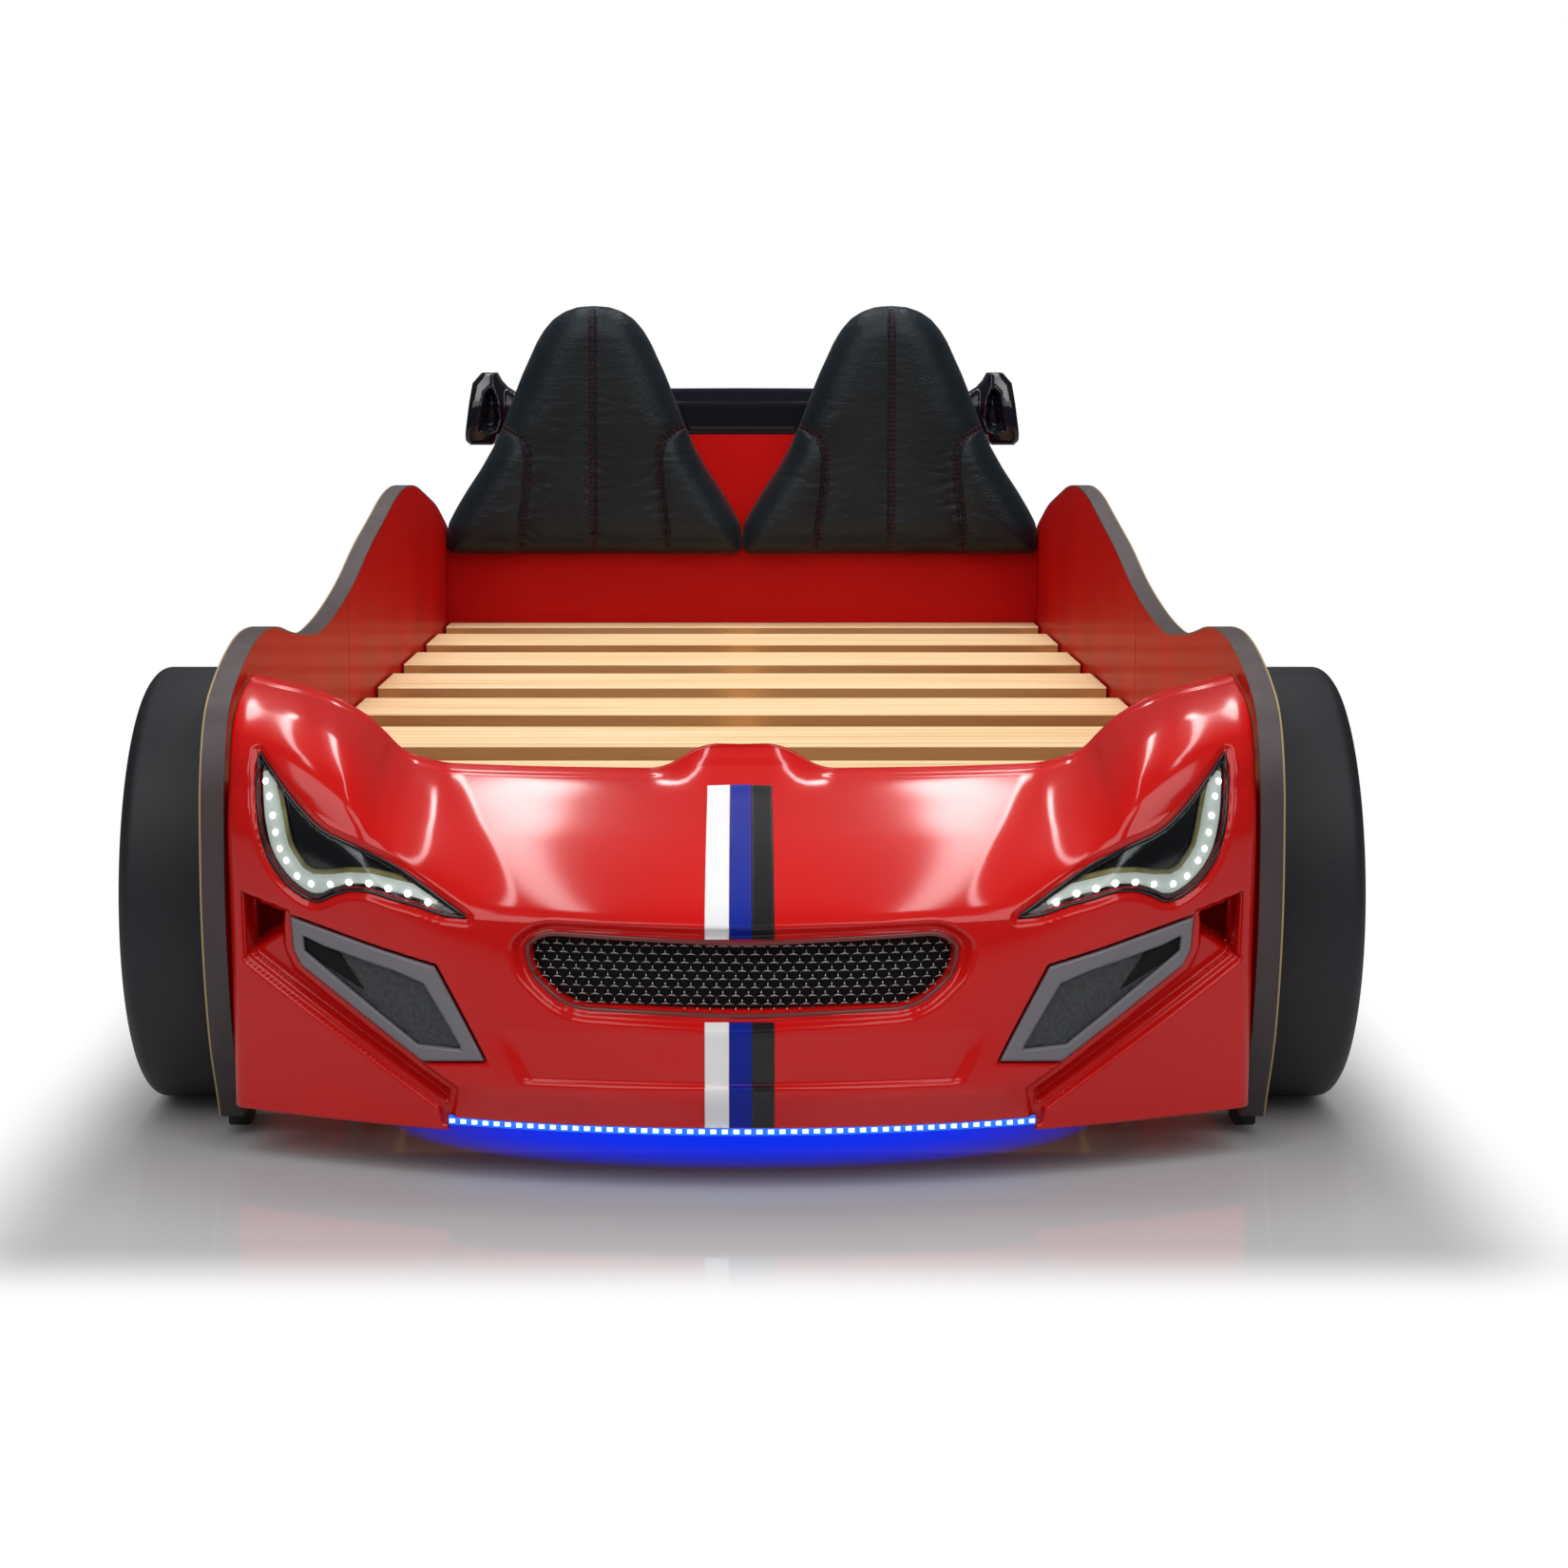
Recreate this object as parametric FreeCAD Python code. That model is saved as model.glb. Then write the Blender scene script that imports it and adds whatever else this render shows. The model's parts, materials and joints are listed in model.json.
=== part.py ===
"""Car bed for children, in millimetres.

A slatted single bed dressed as a sports car: two lacquered side boards with taupe
edging, a vacuum-formed front bumper with lamps, honeycomb grille and lit lower lip,
four dummy wheels, a headboard with two bucket-seat cushions and a rear wing.

Frame: +Z up, +Y from the bumper to the headboard, +X to the right seen from the front.
The origin is on the floor, at the middle of the bed's length and width.
"""
import FreeCAD
import Part

import math
import os

from FreeCAD import Vector

OUT = "parts"

# ---------------------------------------------------------------- driving dimensions
LENGTH = 2335.0
NOSE_Y = -LENGTH / 2          # foremost line of the bumper
TAIL_Y = LENGTH / 2           # rear edge of the wing

INNER_W = 920.0               # between the side boards: a 900 mm mattress and clearance
BOARD_T = 22.0                # side boards
PANEL_T = 18.0                # headboard, front board and wing board
EDGE_T = 2.0                  # glued edging
IN_X = INNER_W / 2
OUT_X = IN_X + BOARD_T
BOARD_BOTTOM = 20.0
SEAM_Y = -156.5               # joint between the front and rear side boards
SEAM_GAP = 1.0

# Side board outline, (y, z): up the front edge and along the top to the rear.
BOARD_EDGE = [(-962.5, 20), (-1018.5, 120), (-1042.5, 250), (-1020.5, 380), (-937.5, 430), (-780.5, 455),
              (-542.5, 430), (-392.5, 421), (SEAM_Y, 444), (117.5, 496), (481.5, 543), (837.5, 507),
              (1032.5, 465), (1147.5, 430)]

SLAT_TOP = 307.0
SLAT_T = 20.0
SLAT_W = 175.0
SLAT_PITCH = 297.0
SLAT_COUNT = 7
SLAT_FIRST_Y = 981.5          # front edge of the slat beside the headboard
SLAT_GAP = 4.0                # end clearance to each side board
RAIL_W = 30.0
RAIL_H = 40.0
BEAM_W = 40.0
BEAM_H = 70.0
LEG_YS = (-500.0, 100.0, 700.0)
GLIDE_YS = (-900.0, -300.0, 300.0, 1100.0)
GLIDE_W = 20.0
GLIDE_L = 34.0
LEG_GLIDE_H = 8.0

WHEEL_R = 208.0
WHEEL_Z = 209.5
WHEEL_FACE_X = 569.0
WHEEL_YS = (-780.5, 560.0)
RIM_R = 150.0
RIM_WALL = 12.0
RIM_SETBACK = 22.0            # the spoked face lies this far inside the tyre's face
HUB_R = 22.0                  # the hexagonal cap, over its corners
CAP_RISE = 10.0
TREAD_ROUND = 14.0
SPOKES = 5

# ---------------------------------------------------------------- bumper dimensions
SKIN_T = 5.0                  # moulded wall
PAN_T = 3.0                   # wall of the moulded pockets
BUMPER_X = 457.0              # half width, inside the side boards
BUMPER_RUN = 285.0            # nose to rear flange
BUMPER_BOTTOM = 45.0
LIP_BOTTOM = 57.0             # raised middle of the lower edge, over the light strip
LIP_HALF = 258.0
PLAN_R = 805.0                # curve of the nose seen from above
FLANGE_W = 20.0
FRONT_BOARD_Y = NOSE_Y + BUMPER_RUN
FRONT_BOARD_BOTTOM = 40.0
FRONT_BOARD_TOP = 318.0

# Profiles from the lower edge (0) to the top edge (1): share of height, setback in mm.
HOOD = [(0, 14), (.042, 12), (.165, 0), (.344, 3), (.51, 3), (.653, 8), (.677, 14),
        (.761, 50), (.853, 110), (.923, 180), (.979, 250), (1, BUMPER_RUN)]
FENDER = [(0, 18), (.192, 9), (.439, -4), (.662, -11), (.818, 5.5), (.896, 37),
          (.956, 110), (.987, 211), (1, BUMPER_RUN)]
# Raised middle of the rear edge, (x, z) of one half.
HUMP = [(73, 322), (41, 356)]
HUMP_L = 24.0
# Height of the top edge over the half width.
TOP_EDGE = [(0, 330), (270, 336), (300, 342), (319, 351), (334, 366), (350, 381),
            (394, 404), (440, 416), (BUMPER_X, 421)]
# Where the hood turns into the fender: share of height, half width at start and end.
VALLEY_START = [(.6, 185), (.69, 190), (1, 290)]
VALLEY_END = [(.6, 330), (.69, 330), (1, 350)]
# Control points of the skin: half widths, the last past its side, and shares of height.
SKIN_XS = [0, 110, 210, 270, 330, 380, 430, 470]
SKIN_SHARES = [0, .15, .4, .60, .70, .78, .88, .96, 1]
SKIN_DEGREE = 3
# Where the hidden inner faces are sampled, as shares of the skin's two directions.
FACET_ROWS = [0, .28, .42, .52, .62, .72, .82, .92, 1]
FACET_COLUMNS = [0, .10, .20, .30, .40, .5, .60, .70, .80, .90, 1]

# Outlines on the bumper's right half, (x, z), as seen from the front.
# Start, middle and end of each arc round the lamp.
LAMP_ARCS = [((237, 235), (306, 278), (367, 305)), ((367, 305), (401, 334), (428, 367)),
             ((428, 367), (427, 321), (410, 268)), ((410, 268), (374, 243.5), (345, 252)),
             ((345, 252), (319, 255), (291, 247)), ((291, 247), (264, 239), (237, 235))]
LED_LINE = [(421, 343), (417, 330), (413, 314), (410, 300), (406, 286), (400, 276), (390, 263),
            (377, 257), (359, 258), (342, 261), (324, 261), (307, 257), (290, 253), (272, 246)]
LED_BAND = [(424, 352), (413, 322), (398, 284), (372, 269), (330, 271), (252, 243), (200, 225),
            (470, 225), (470, 352)]
FOG_OUTER = [(397, 228), (265, 193), (221, 110), (279, 105), (389, 183), (397, 197)]
FOG_INNER = [(385, 210), (302, 186), (276, 176), (243.5, 120), (282, 121), (384, 197)]
DUCT = [(422, 233), (406, 228), (404, 196), (396, 177), (284, 97), (252, 80), (250, 30), (262, 30),
        (268, 68), (422, 171)]
SLOT = [(445, 244), (430, 238), (430, 188), (445, 183)]
GRILLE_OUTER = [(-199, 212), (-183, 233), (0, 230.5), (183, 233), (199, 212), (168, 162), (141, 152),
                (0, 143), (-141, 152), (-168, 162)]
GRILLE_INNER = [(-178, 211), (-166, 221), (0, 216.6), (166, 221), (178, 211), (162, 175), (144, 162.4),
                (0, 157.6), (-144, 162.4), (-162, 175)]
CHIN = [(-214, 137), (214, 137), (193, 97), (-193, 97)]

PAN_DEPTH = 22.0
SLOT_DEPTH = 50.0
GRILLE_DEPTH = 38.0           # from the nose, to a flat floor
CHIN_DEPTH = 9.0              # from the nose, to a floor curved like it
OPENING_REACH = 280.0         # how far a cut runs back, short of the rear flange
LENS_DEPTHS = (2.0, 5.0)
CHIP_DEPTHS = (8.5, 10.0)
BAND_DEPTHS = (10.0, 14.0)
HOUSING_DEPTHS = (14.0, 17.0)
BEZEL_DEPTHS = (-2.0, 6.0)
INSERT_DEPTHS = (6.0, 9.0)
CHIP_HALF = 2.5
HEX_PITCH = 24.0
HEX_BAR = 3.5
HEX_ROWS = 2                  # each way from the middle row
HEX_COLUMNS = 9
GRILLE_T = 4.0
GRILLE_Z = 189.5
GRILLE_MARGIN = 8.0           # the mesh laps this far behind its opening
STRIP_HALF = 250.0            # light strip under the lip
STRIP_SETBACK = 13.0
STRIP_DEPTH = 12.0
STRIP_H = 7.0
STRIP_WALL = 1.0
STRIP_GROOVE = 4.0
LED_PITCH = 20.0
LED_COUNT = 25

# ---------------------------------------------------------------- seats and wing
HEAD_Y = 1063.5               # front face of the headboard
HEAD_BOTTOM = 60.0
HEAD_SHOULDER = 445.0         # top of the headboard's full-width part
SEAT_X = 230.0                # each seat's middle
SEAT_BOTTOM = 415.0
SEAT_T = 62.0
SEAT_MIDDLE_Z = 570.0
SEAT_SEAM_X = 106.0           # the outer seams; a third runs up the middle
ROLL_RISE = 13.0              # each roll's rise over its seams
# Half of a seat back's outline, (x, z).
SEAT_OUTLINE = [(222, SEAT_BOTTOM), (229, 424), (229, 462), (198, 515), (163, 570), (131, 647), (108, 700),
                (87, 746), (58, 782), (20, 800)]
# The padding's crown: share of the outline, and thickness there.
SEAT_CROWN = [(.985, 0), (1, 16), (.97, 34), (.91, 48), (.8, 58), (.66, 63)]
HEAD_SCALE = .96              # the headboard stays inside the cushions' outline
WING_HALF = 434.0
WING_BOARD_HALF = 430.0
WING_BOTTOM = 600.0
WING_TOP = 672.0
FIN_BOTTOM = 583.0
FIN_TOP = 697.0
FIN_W = 49.0
WING_FRONT_Y = HEAD_Y + PANEL_T

# ---------------------------------------------------------------- fittings
BRACKET_LEG = 45.0
BRACKET_T = 3.0
BRACKET_H = 70.0
BRACKET_Z = 120.0
BRACKET_HOLE = 28.0           # screw to corner
BRACKET_END = 18.0            # screw to bracket end
HEX_HEAD_R = 6.5
HEX_HEAD_H = 4.0
PLATE_L = 160.0
PLATE_H = 90.0
PLATE_T = 4.0
PLATE_Z = 110.0
CONTROL_BOX = (130.0, 40.0, 70.0)
CONTROL_COVER_T = 3.0
CONTROL_X = 0.0
CONTROL_Z = 200.0


# ---------------------------------------------------------------- small helpers
def export(name, shapes):
    """Writes one node; several solids make one compound."""
    solids = []
    for shape in shapes if isinstance(shapes, (list, tuple)) else [shapes]:
        solids += shape.Solids
    body = solids[0] if len(solids) == 1 else Part.makeCompound(solids)
    body.exportStep(os.path.join(OUT, name + ".step"))
    bad = [s for s in solids if not s.isValid() or s.Volume <= 0]
    print("%-26s %3d solids %4d faces %12.0f mm3 %s" % (
        name, len(solids), sum(len(s.Faces) for s in solids), sum(s.Volume for s in solids),
        "BAD" if bad else ""))


def box(x0, x1, y0, y1, z0, z1):
    return Part.makeBox(x1 - x0, y1 - y0, z1 - z0, Vector(x0, y0, z0))


def mirrored(shape):
    return shape.mirror(Vector(0, 0, 0), Vector(1, 0, 0))


def both_sides(shape):
    return [shape, mirrored(shape)]


def rounded_outline(points, radius, place):
    """A closed wire of lines with tangent arcs at the corners; place turns (a, b) into a Vector."""
    corners = []
    count = len(points)
    for i, (a, b) in enumerate(points):
        corner = Vector(a, b, 0)
        to_before = Vector(*points[i - 1], 0) - corner
        to_after = Vector(*points[(i + 1) % count], 0) - corner
        half = to_before.getAngle(to_after) / 2
        reach = min(radius / math.tan(half), to_before.Length * .45, to_after.Length * .45)
        r = reach * math.tan(half)
        start = corner + to_before.normalize() * reach
        end = corner + to_after.normalize() * reach
        middle = corner + (to_before + to_after).normalize() * (r / math.sin(half) - r)
        corners.append((start, middle, end))
    edges = []
    for i, (start, middle, end) in enumerate(corners):
        following = corners[(i + 1) % count][0]
        edges.append(Part.Arc(*[place(p.x, p.y) for p in (start, middle, end)]).toShape())
        edges.append(Part.LineSegment(place(end.x, end.y), place(following.x, following.y)).toShape())
    return Part.Wire(edges)


def arc_from(start, along, end):
    """The arc that leaves start along a direction and ends at end; a line where it is straight."""
    chord = end - start
    angle = along.getAngle(chord)
    if angle < 1e-3:
        return Part.makeLine(start, end)
    aside = (along - chord * (along.dot(chord) / chord.dot(chord))).normalize()
    middle = (start + end) / 2 + aside * (chord.Length / 2 * math.tan(angle / 2))
    return Part.Arc(start, middle, end).toShape()


def smooth_edges(points):
    """Pairs of tangent arcs through the points."""
    last = len(points) - 1
    along = [(points[min(i + 1, last)] - points[max(i - 1, 0)]).normalize() for i in range(last + 1)]
    edges = []
    for a, b, ta, tb in zip(points, points[1:], along, along[1:]):
        chord = b - a
        bend = 2 * (1 - ta.dot(tb))
        pull = chord.dot(ta + tb)
        reach = chord.dot(chord) / (pull + math.sqrt(pull ** 2 + bend * chord.dot(chord)))
        joint = (a + ta * reach + b - tb * reach) / 2
        edges.append(arc_from(a, ta, joint))
        edges.append(arc_from(joint, b - tb * reach - joint, b))
    return edges


def hermite(x, table):
    """Smooth monotone interpolation through a table of (x, y)."""
    if x <= table[0][0]:
        return float(table[0][1])
    if x >= table[-1][0]:
        return float(table[-1][1])
    steps = [b[0] - a[0] for a, b in zip(table, table[1:])]
    rises = [(b[1] - a[1]) / h for a, b, h in zip(table, table[1:], steps)]
    slopes = [rises[0]] + [0.0] * (len(table) - 2) + [rises[-1]]
    for i in range(1, len(table) - 1):
        if rises[i - 1] * rises[i] > 0:
            w1 = 2 * steps[i] + steps[i - 1]
            w2 = steps[i] + 2 * steps[i - 1]
            slopes[i] = (w1 + w2) / (w1 / rises[i - 1] + w2 / rises[i])
    i = max(k for k in range(len(steps)) if x >= table[k][0])
    t = (x - table[i][0]) / steps[i]
    a, b = table[i][1], table[i + 1][1]
    return ((2 * t ** 3 - 3 * t ** 2 + 1) * a + (t ** 3 - 2 * t ** 2 + t) * steps[i] * slopes[i]
            + (3 * t ** 2 - 2 * t ** 3) * b + (t ** 3 - t ** 2) * steps[i] * slopes[i + 1])


# ---------------------------------------------------------------- side boards
def board_edge(inset):
    """The curved front and top edge of a side board, drawn in square to itself."""
    points = []
    last = len(BOARD_EDGE) - 1
    for i, (y, z) in enumerate(BOARD_EDGE):
        before, after = BOARD_EDGE[max(i - 1, 0)], BOARD_EDGE[min(i + 1, last)]
        along = Vector(0, after[0] - before[0], after[1] - before[1]).normalize()
        points.append(Vector(0, y + along.z * inset, z - along.y * inset))
    return points


def board_blank(inset):
    points = board_edge(inset)
    first, last = points[0], points[-1]
    rear = Vector(0, last.y, 0)
    front = Vector(0, first.y, 0)
    edges = smooth_edges(points)
    edges += [Part.makeLine(a, b) for a, b in ((last, rear), (rear, front), (front, first))]
    return Part.Face(Part.Wire(edges)).extrude(Vector(BOARD_T, 0, 0))


def side_boards():
    """Front and rear boards of one side and their edging, for +X."""
    rear_y = BOARD_EDGE[-1][0]
    outer = board_blank(0).common(box(-1, BOARD_T + 1, NOSE_Y, rear_y, BOARD_BOTTOM, 600))
    core = board_blank(EDGE_T).common(
        box(-1, BOARD_T + 1, NOSE_Y, rear_y - EDGE_T, BOARD_BOTTOM + EDGE_T, 600))
    edging = outer.cut(core)
    regions = {"front": box(-1, BOARD_T + 1, NOSE_Y, SEAM_Y - SEAM_GAP / 2, 0, 700),
               "rear": box(-1, BOARD_T + 1, SEAM_Y + SEAM_GAP / 2, TAIL_Y, 0, 700)}
    made = {}
    for half, region in regions.items():
        made["side_board_" + half] = core.common(region)
        made["edging_" + half] = edging.common(region)
    for shape in made.values():
        shape.translate(Vector(IN_X, 0, 0))
    return made


# ---------------------------------------------------------------- slatted base
def slats():
    made = []
    half = IN_X - SLAT_GAP
    for k in range(SLAT_COUNT):
        y0 = SLAT_FIRST_Y - SLAT_PITCH * k
        y1 = min(y0 + SLAT_W, HEAD_Y - 2)
        slat = box(-half, half, y0, y1, SLAT_TOP - SLAT_T, SLAT_TOP)
        long_edges = [e for e in slat.Edges if abs(e.Length - 2 * half) < 1e-6]
        made.append(slat.makeChamfer(1.5, long_edges))
    return made


def side_rail():
    top = SLAT_TOP - SLAT_T
    rail = box(IN_X - RAIL_W, IN_X, FRONT_BOARD_Y + PANEL_T, HEAD_Y, top - RAIL_H, top)
    lower = [e for e in rail.Edges if e.Length > INNER_W and e.BoundBox.XMax < IN_X - 1
             and e.BoundBox.ZMax < top - 1]
    return rail.makeChamfer(6, lower)


def centre_beam():
    top = SLAT_TOP - SLAT_T
    return box(-BEAM_W / 2, BEAM_W / 2, FRONT_BOARD_Y + PANEL_T, HEAD_Y, top - BEAM_H, top)


def centre_legs():
    top = SLAT_TOP - SLAT_T - BEAM_H
    return [box(-BEAM_W / 2, BEAM_W / 2, y - BEAM_W / 2, y + BEAM_W / 2, LEG_GLIDE_H, top) for y in LEG_YS]


def floor_glides():
    """Hard pads under the side boards and the centre legs."""
    x = IN_X + BOARD_T / 2
    places = [(side * x, y, BOARD_BOTTOM) for side in (1, -1) for y in GLIDE_YS]
    places += [(0, y, LEG_GLIDE_H) for y in LEG_YS]
    pads = []
    for px, py, height in places:
        pad = box(px - GLIDE_W / 2, px + GLIDE_W / 2, py - GLIDE_L / 2, py + GLIDE_L / 2, 0, height)
        pads.append(pad.makeChamfer(2, [e for e in pad.Edges if e.BoundBox.ZMax < .01]))
    return pads


# ---------------------------------------------------------------- wheels
def along_x(profile):
    """Turns a profile of (radius, x) round the wheel's axis, which runs along X at the origin."""
    wire = Part.makePolygon([Vector(x, 0, r) for r, x in profile + profile[:1]])
    return Part.Face(wire).revolve(Vector(0, 0, 0), Vector(1, 0, 0), 360)


def tyre():
    x0, x1 = OUT_X, WHEEL_FACE_X
    return along_x([(RIM_R, x0), (WHEEL_R, x0), (WHEEL_R, x1 - TREAD_ROUND), (WHEEL_R - TREAD_ROUND, x1),
                    (RIM_R, x1)])


def rim():
    """A wheel face set back in its ring, with windows between its spokes."""
    x0, x1 = OUT_X, WHEEL_FACE_X
    wall = RIM_R - RIM_WALL
    disc = x1 - RIM_SETBACK
    ring = along_x([(0, x0), (RIM_R, x0), (RIM_R, x1 - 4), (wall, x1 - 4), (wall, disc), (0, disc)])
    window = polygon([(8, 58), (20, wall - 10), (62, wall - 36), (36, 46)], lambda a, b: Vector(0, a, b))
    hole = Part.Face(window).extrude(Vector(1000, 0, 0))
    holes = [hub_cap()]
    for k in range(SPOKES):
        turned = hole.copy()
        turned.rotate(Vector(0, 0, 0), Vector(1, 0, 0), 360.0 * k / SPOKES)
        holes.append(turned)
    return ring.cut(holes)


def hub_cap():
    turns = [math.radians(60 * k) for k in range(6)]
    corners = [(HUB_R * math.cos(t), HUB_R * math.sin(t)) for t in turns]
    outline = polygon(corners, lambda a, b: Vector(OUT_X, a, b))
    return Part.Face(outline).extrude(Vector(WHEEL_FACE_X - RIM_SETBACK + CAP_RISE - OUT_X, 0, 0))


def at_wheels(shape):
    """The piece at all four wheels."""
    placed = []
    for y in WHEEL_YS:
        wheel = shape.copy()
        wheel.translate(Vector(0, y, WHEEL_Z))
        placed += both_sides(wheel)
    return placed


# ---------------------------------------------------------------- bumper
def top_edge(x):
    return hermite(abs(x), TOP_EDGE)


def setback(x, z):
    """How far the bumper's skin lies behind the nose at (x, z)."""
    share = max(0.0, min(1.0, (z - BUMPER_BOTTOM) / (top_edge(x) - BUMPER_BOTTOM)))
    start, end = hermite(share, VALLEY_START), hermite(share, VALLEY_END)
    t = max(0.0, min(1.0, (abs(x) - start) / (end - start)))
    fender = t * t * (3 - 2 * t)
    profile = (1 - fender) * hermite(share, HOOD) + fender * hermite(share, FENDER)
    return x * x / (2 * PLAN_R) * (1 - max(profile, 0) / BUMPER_RUN) + profile


def clamped(count):
    """Knots and multiplicities of an even clamped B-spline."""
    spans = count - SKIN_DEGREE
    ends = SKIN_DEGREE + 1
    return [float(k) for k in range(spans + 1)], [ends] + [1] * (spans - 1) + [ends]


def skin():
    """The bumper's outer surface, carried on below its lower edge."""
    xs = [-x for x in SKIN_XS[:0:-1]] + SKIN_XS
    rows = []
    for share in SKIN_SHARES:
        zs = [BUMPER_BOTTOM + share * (top_edge(x) - BUMPER_BOTTOM) for x in xs]
        rows.append([Vector(x, NOSE_Y + setback(x, z), z) for x, z in zip(xs, zs)])
    rows.insert(0, [point - Vector(0, 0, BUMPER_BOTTOM) for point in rows[0]])
    u_knots, u_mults = clamped(len(rows))
    v_knots, v_mults = clamped(len(xs))
    surface = Part.BSplineSurface()
    surface.buildFromPolesMultsKnots(rows, u_mults, v_mults, u_knots, v_knots, False, False,
                                     SKIN_DEGREE, SKIN_DEGREE)
    return surface


SKIN = skin()


def below(u, v, depth):
    """The point under the skin at (u, v), straight behind it and depth below it."""
    slope = max(abs(SKIN.normal(u, v).y), .125)
    return SKIN.value(u, v) + Vector(0, depth / slope, 0)


def smooth_block(depth):
    """Everything behind the skin, under one smooth surface."""
    surface = SKIN.copy()
    u_end, v_end = SKIN.bounds()[1], SKIN.bounds()[3]
    u_count, v_count = SKIN.NbUPoles, SKIN.NbVPoles
    for i in range(u_count):
        for j in range(v_count):
            u, v = u_end * i / (u_count - 1), v_end * j / (v_count - 1)
            shift = below(u, v, depth) - SKIN.value(u, v)
            surface.setPole(i + 1, j + 1, surface.getPole(i + 1, j + 1) + shift)
    return surface.toShape().extrude(Vector(0, 500, 0))


def faceted_block(depth):
    """The same under flat facets, for hidden faces."""
    u_end, v_end = SKIN.bounds()[1], SKIN.bounds()[3]
    rows = [[below(u_end * r, v_end * c, depth) for c in FACET_COLUMNS] for r in FACET_ROWS]
    back = [[Vector(p.x, NOSE_Y + 500, p.z) for p in row] for row in rows]
    faces = []

    def facet(*points):
        faces.append(Part.Face(Part.makePolygon(list(points) + [points[0]])))

    for lower, upper in zip(rows, rows[1:]):
        for a, b, c, d in zip(lower, lower[1:], upper[1:], upper):
            facet(a, b, c)
            facet(a, c, d)
    for level in (0, -1):
        for a, b, c, d in zip(rows[level], rows[level][1:], back[level][1:], back[level]):
            facet(a, b, c, d)
    for side in (0, -1):
        facet(*([row[side] for row in rows] + [back[-1][side], back[0][side]]))
    facet(*(back[0] + back[-1][::-1]))
    shell = Part.makeShell(faces)
    shell.sewShape()
    return Part.makeSolid(shell)


BLOCKS = {}


def behind_skin(depth, smooth=False):
    """Everything behind the skin at this depth, up to the rear flange."""
    key = (depth, smooth)
    if key not in BLOCKS:
        block = smooth_block(depth) if smooth else faceted_block(depth)
        if block.Volume < 0:
            block.reverse()
        BLOCKS[key] = block.common(box(-600, 600, NOSE_Y - 100, FRONT_BOARD_Y, 0, 600))
    return BLOCKS[key]


def behind_nose(setback_y):
    """Everything behind an upright cylinder that curves with the nose."""
    return Part.makeCylinder(PLAN_R - setback_y, 600, Vector(0, NOSE_Y + PLAN_R, 0))


def behind_plane(setback_y):
    """Everything behind an upright plane."""
    return box(-600, 600, NOSE_Y + setback_y, FRONT_BOARD_Y, 0, 600)


def at_front(x, z):
    return Vector(x, NOSE_Y - 50, z)


def prism(wire):
    return Part.Face(wire).extrude(Vector(0, OPENING_REACH, 0))


def polygon(points, place):
    return Part.makePolygon([place(a, b) for a, b in points + points[:1]])


def grown(wire, width):
    """The outline moved outwards; one of straight lines keeps its sharp corners."""
    straight = all(isinstance(edge.Curve, Part.Line) for edge in wire.Edges)
    return wire.makeOffset2D(width, 2 if straight else 0)


def lamp_wire():
    return Part.Wire([Part.Arc(*[at_front(*p) for p in arc]).toShape() for arc in LAMP_ARCS])


def layer(shape, depths):
    """What lies between two depths below the skin, cut to a prism."""
    return behind_skin(depths[0]).common(shape).cut(behind_skin(depths[1]))


def pocket(wire, floor, back):
    """A moulded pocket: walls round an outline, down to a floor with a back."""
    block = behind_skin(0, True).common(prism(grown(wire, PAN_T))).cut(back)
    return block.cut(prism(wire).cut(floor))


def bumper():
    """The vacuum-formed front, one shell with all its pockets."""
    sides = box(-BUMPER_X, BUMPER_X, NOSE_Y - 50, FRONT_BOARD_Y, BUMPER_BOTTOM, 600)
    inner_x = BUMPER_X - SKIN_T
    hollow = behind_skin(SKIN_T).common(
        box(-inner_x, inner_x, NOSE_Y - 50, FRONT_BOARD_Y - SKIN_T, 0, 600))
    mouth_x = BUMPER_X - FLANGE_W
    mouth = behind_skin(FLANGE_W).common(box(-mouth_x, mouth_x, NOSE_Y - 50, FRONT_BOARD_Y, 0, 600))
    shell = behind_skin(0, True).common(sides).cut([hollow, mouth])

    openings = []
    pockets = []
    moulded = [(lamp_wire(), PAN_DEPTH)]
    for points, depth in ((FOG_OUTER, PAN_DEPTH), (DUCT, PAN_DEPTH), (SLOT, SLOT_DEPTH)):
        moulded.append((polygon(points, at_front), depth))
    for wire, depth in moulded:
        openings += both_sides(prism(wire))
        pockets += both_sides(pocket(wire, behind_skin(depth), behind_skin(depth + PAN_T)))
    for points, floor, back in ((GRILLE_OUTER, behind_plane(GRILLE_DEPTH), behind_plane(GRILLE_DEPTH + PAN_T)),
                                (CHIN, behind_nose(CHIN_DEPTH), behind_nose(CHIN_DEPTH + PAN_T))):
        wire = polygon(points, at_front)
        openings.append(prism(wire))
        pockets.append(pocket(wire, floor, back))
    lip = box(-LIP_HALF, LIP_HALF, NOSE_Y - 50, NOSE_Y + 150, 0, LIP_BOTTOM)
    shell = shell.cut(openings)
    shell = shell.fuse([piece.common(sides) for piece in pockets])
    shell = shell.cut([lip, prism(polygon(GRILLE_INNER, at_front))])
    outline = HUMP + [(-a, b) for a, b in HUMP[::-1]]
    hump = Part.Face(polygon(outline, lambda a, b: Vector(a, FRONT_BOARD_Y - HUMP_L, b)))
    return shell.fuse(hump.extrude(Vector(0, HUMP_L, 0))).removeSplitter()


def hexagon(x, z, radius):
    turns = [math.radians(60 * k) for k in range(7)]
    return prism(Part.makePolygon([at_front(x + radius * math.sin(t), z + radius * math.cos(t)) for t in turns]))


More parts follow.
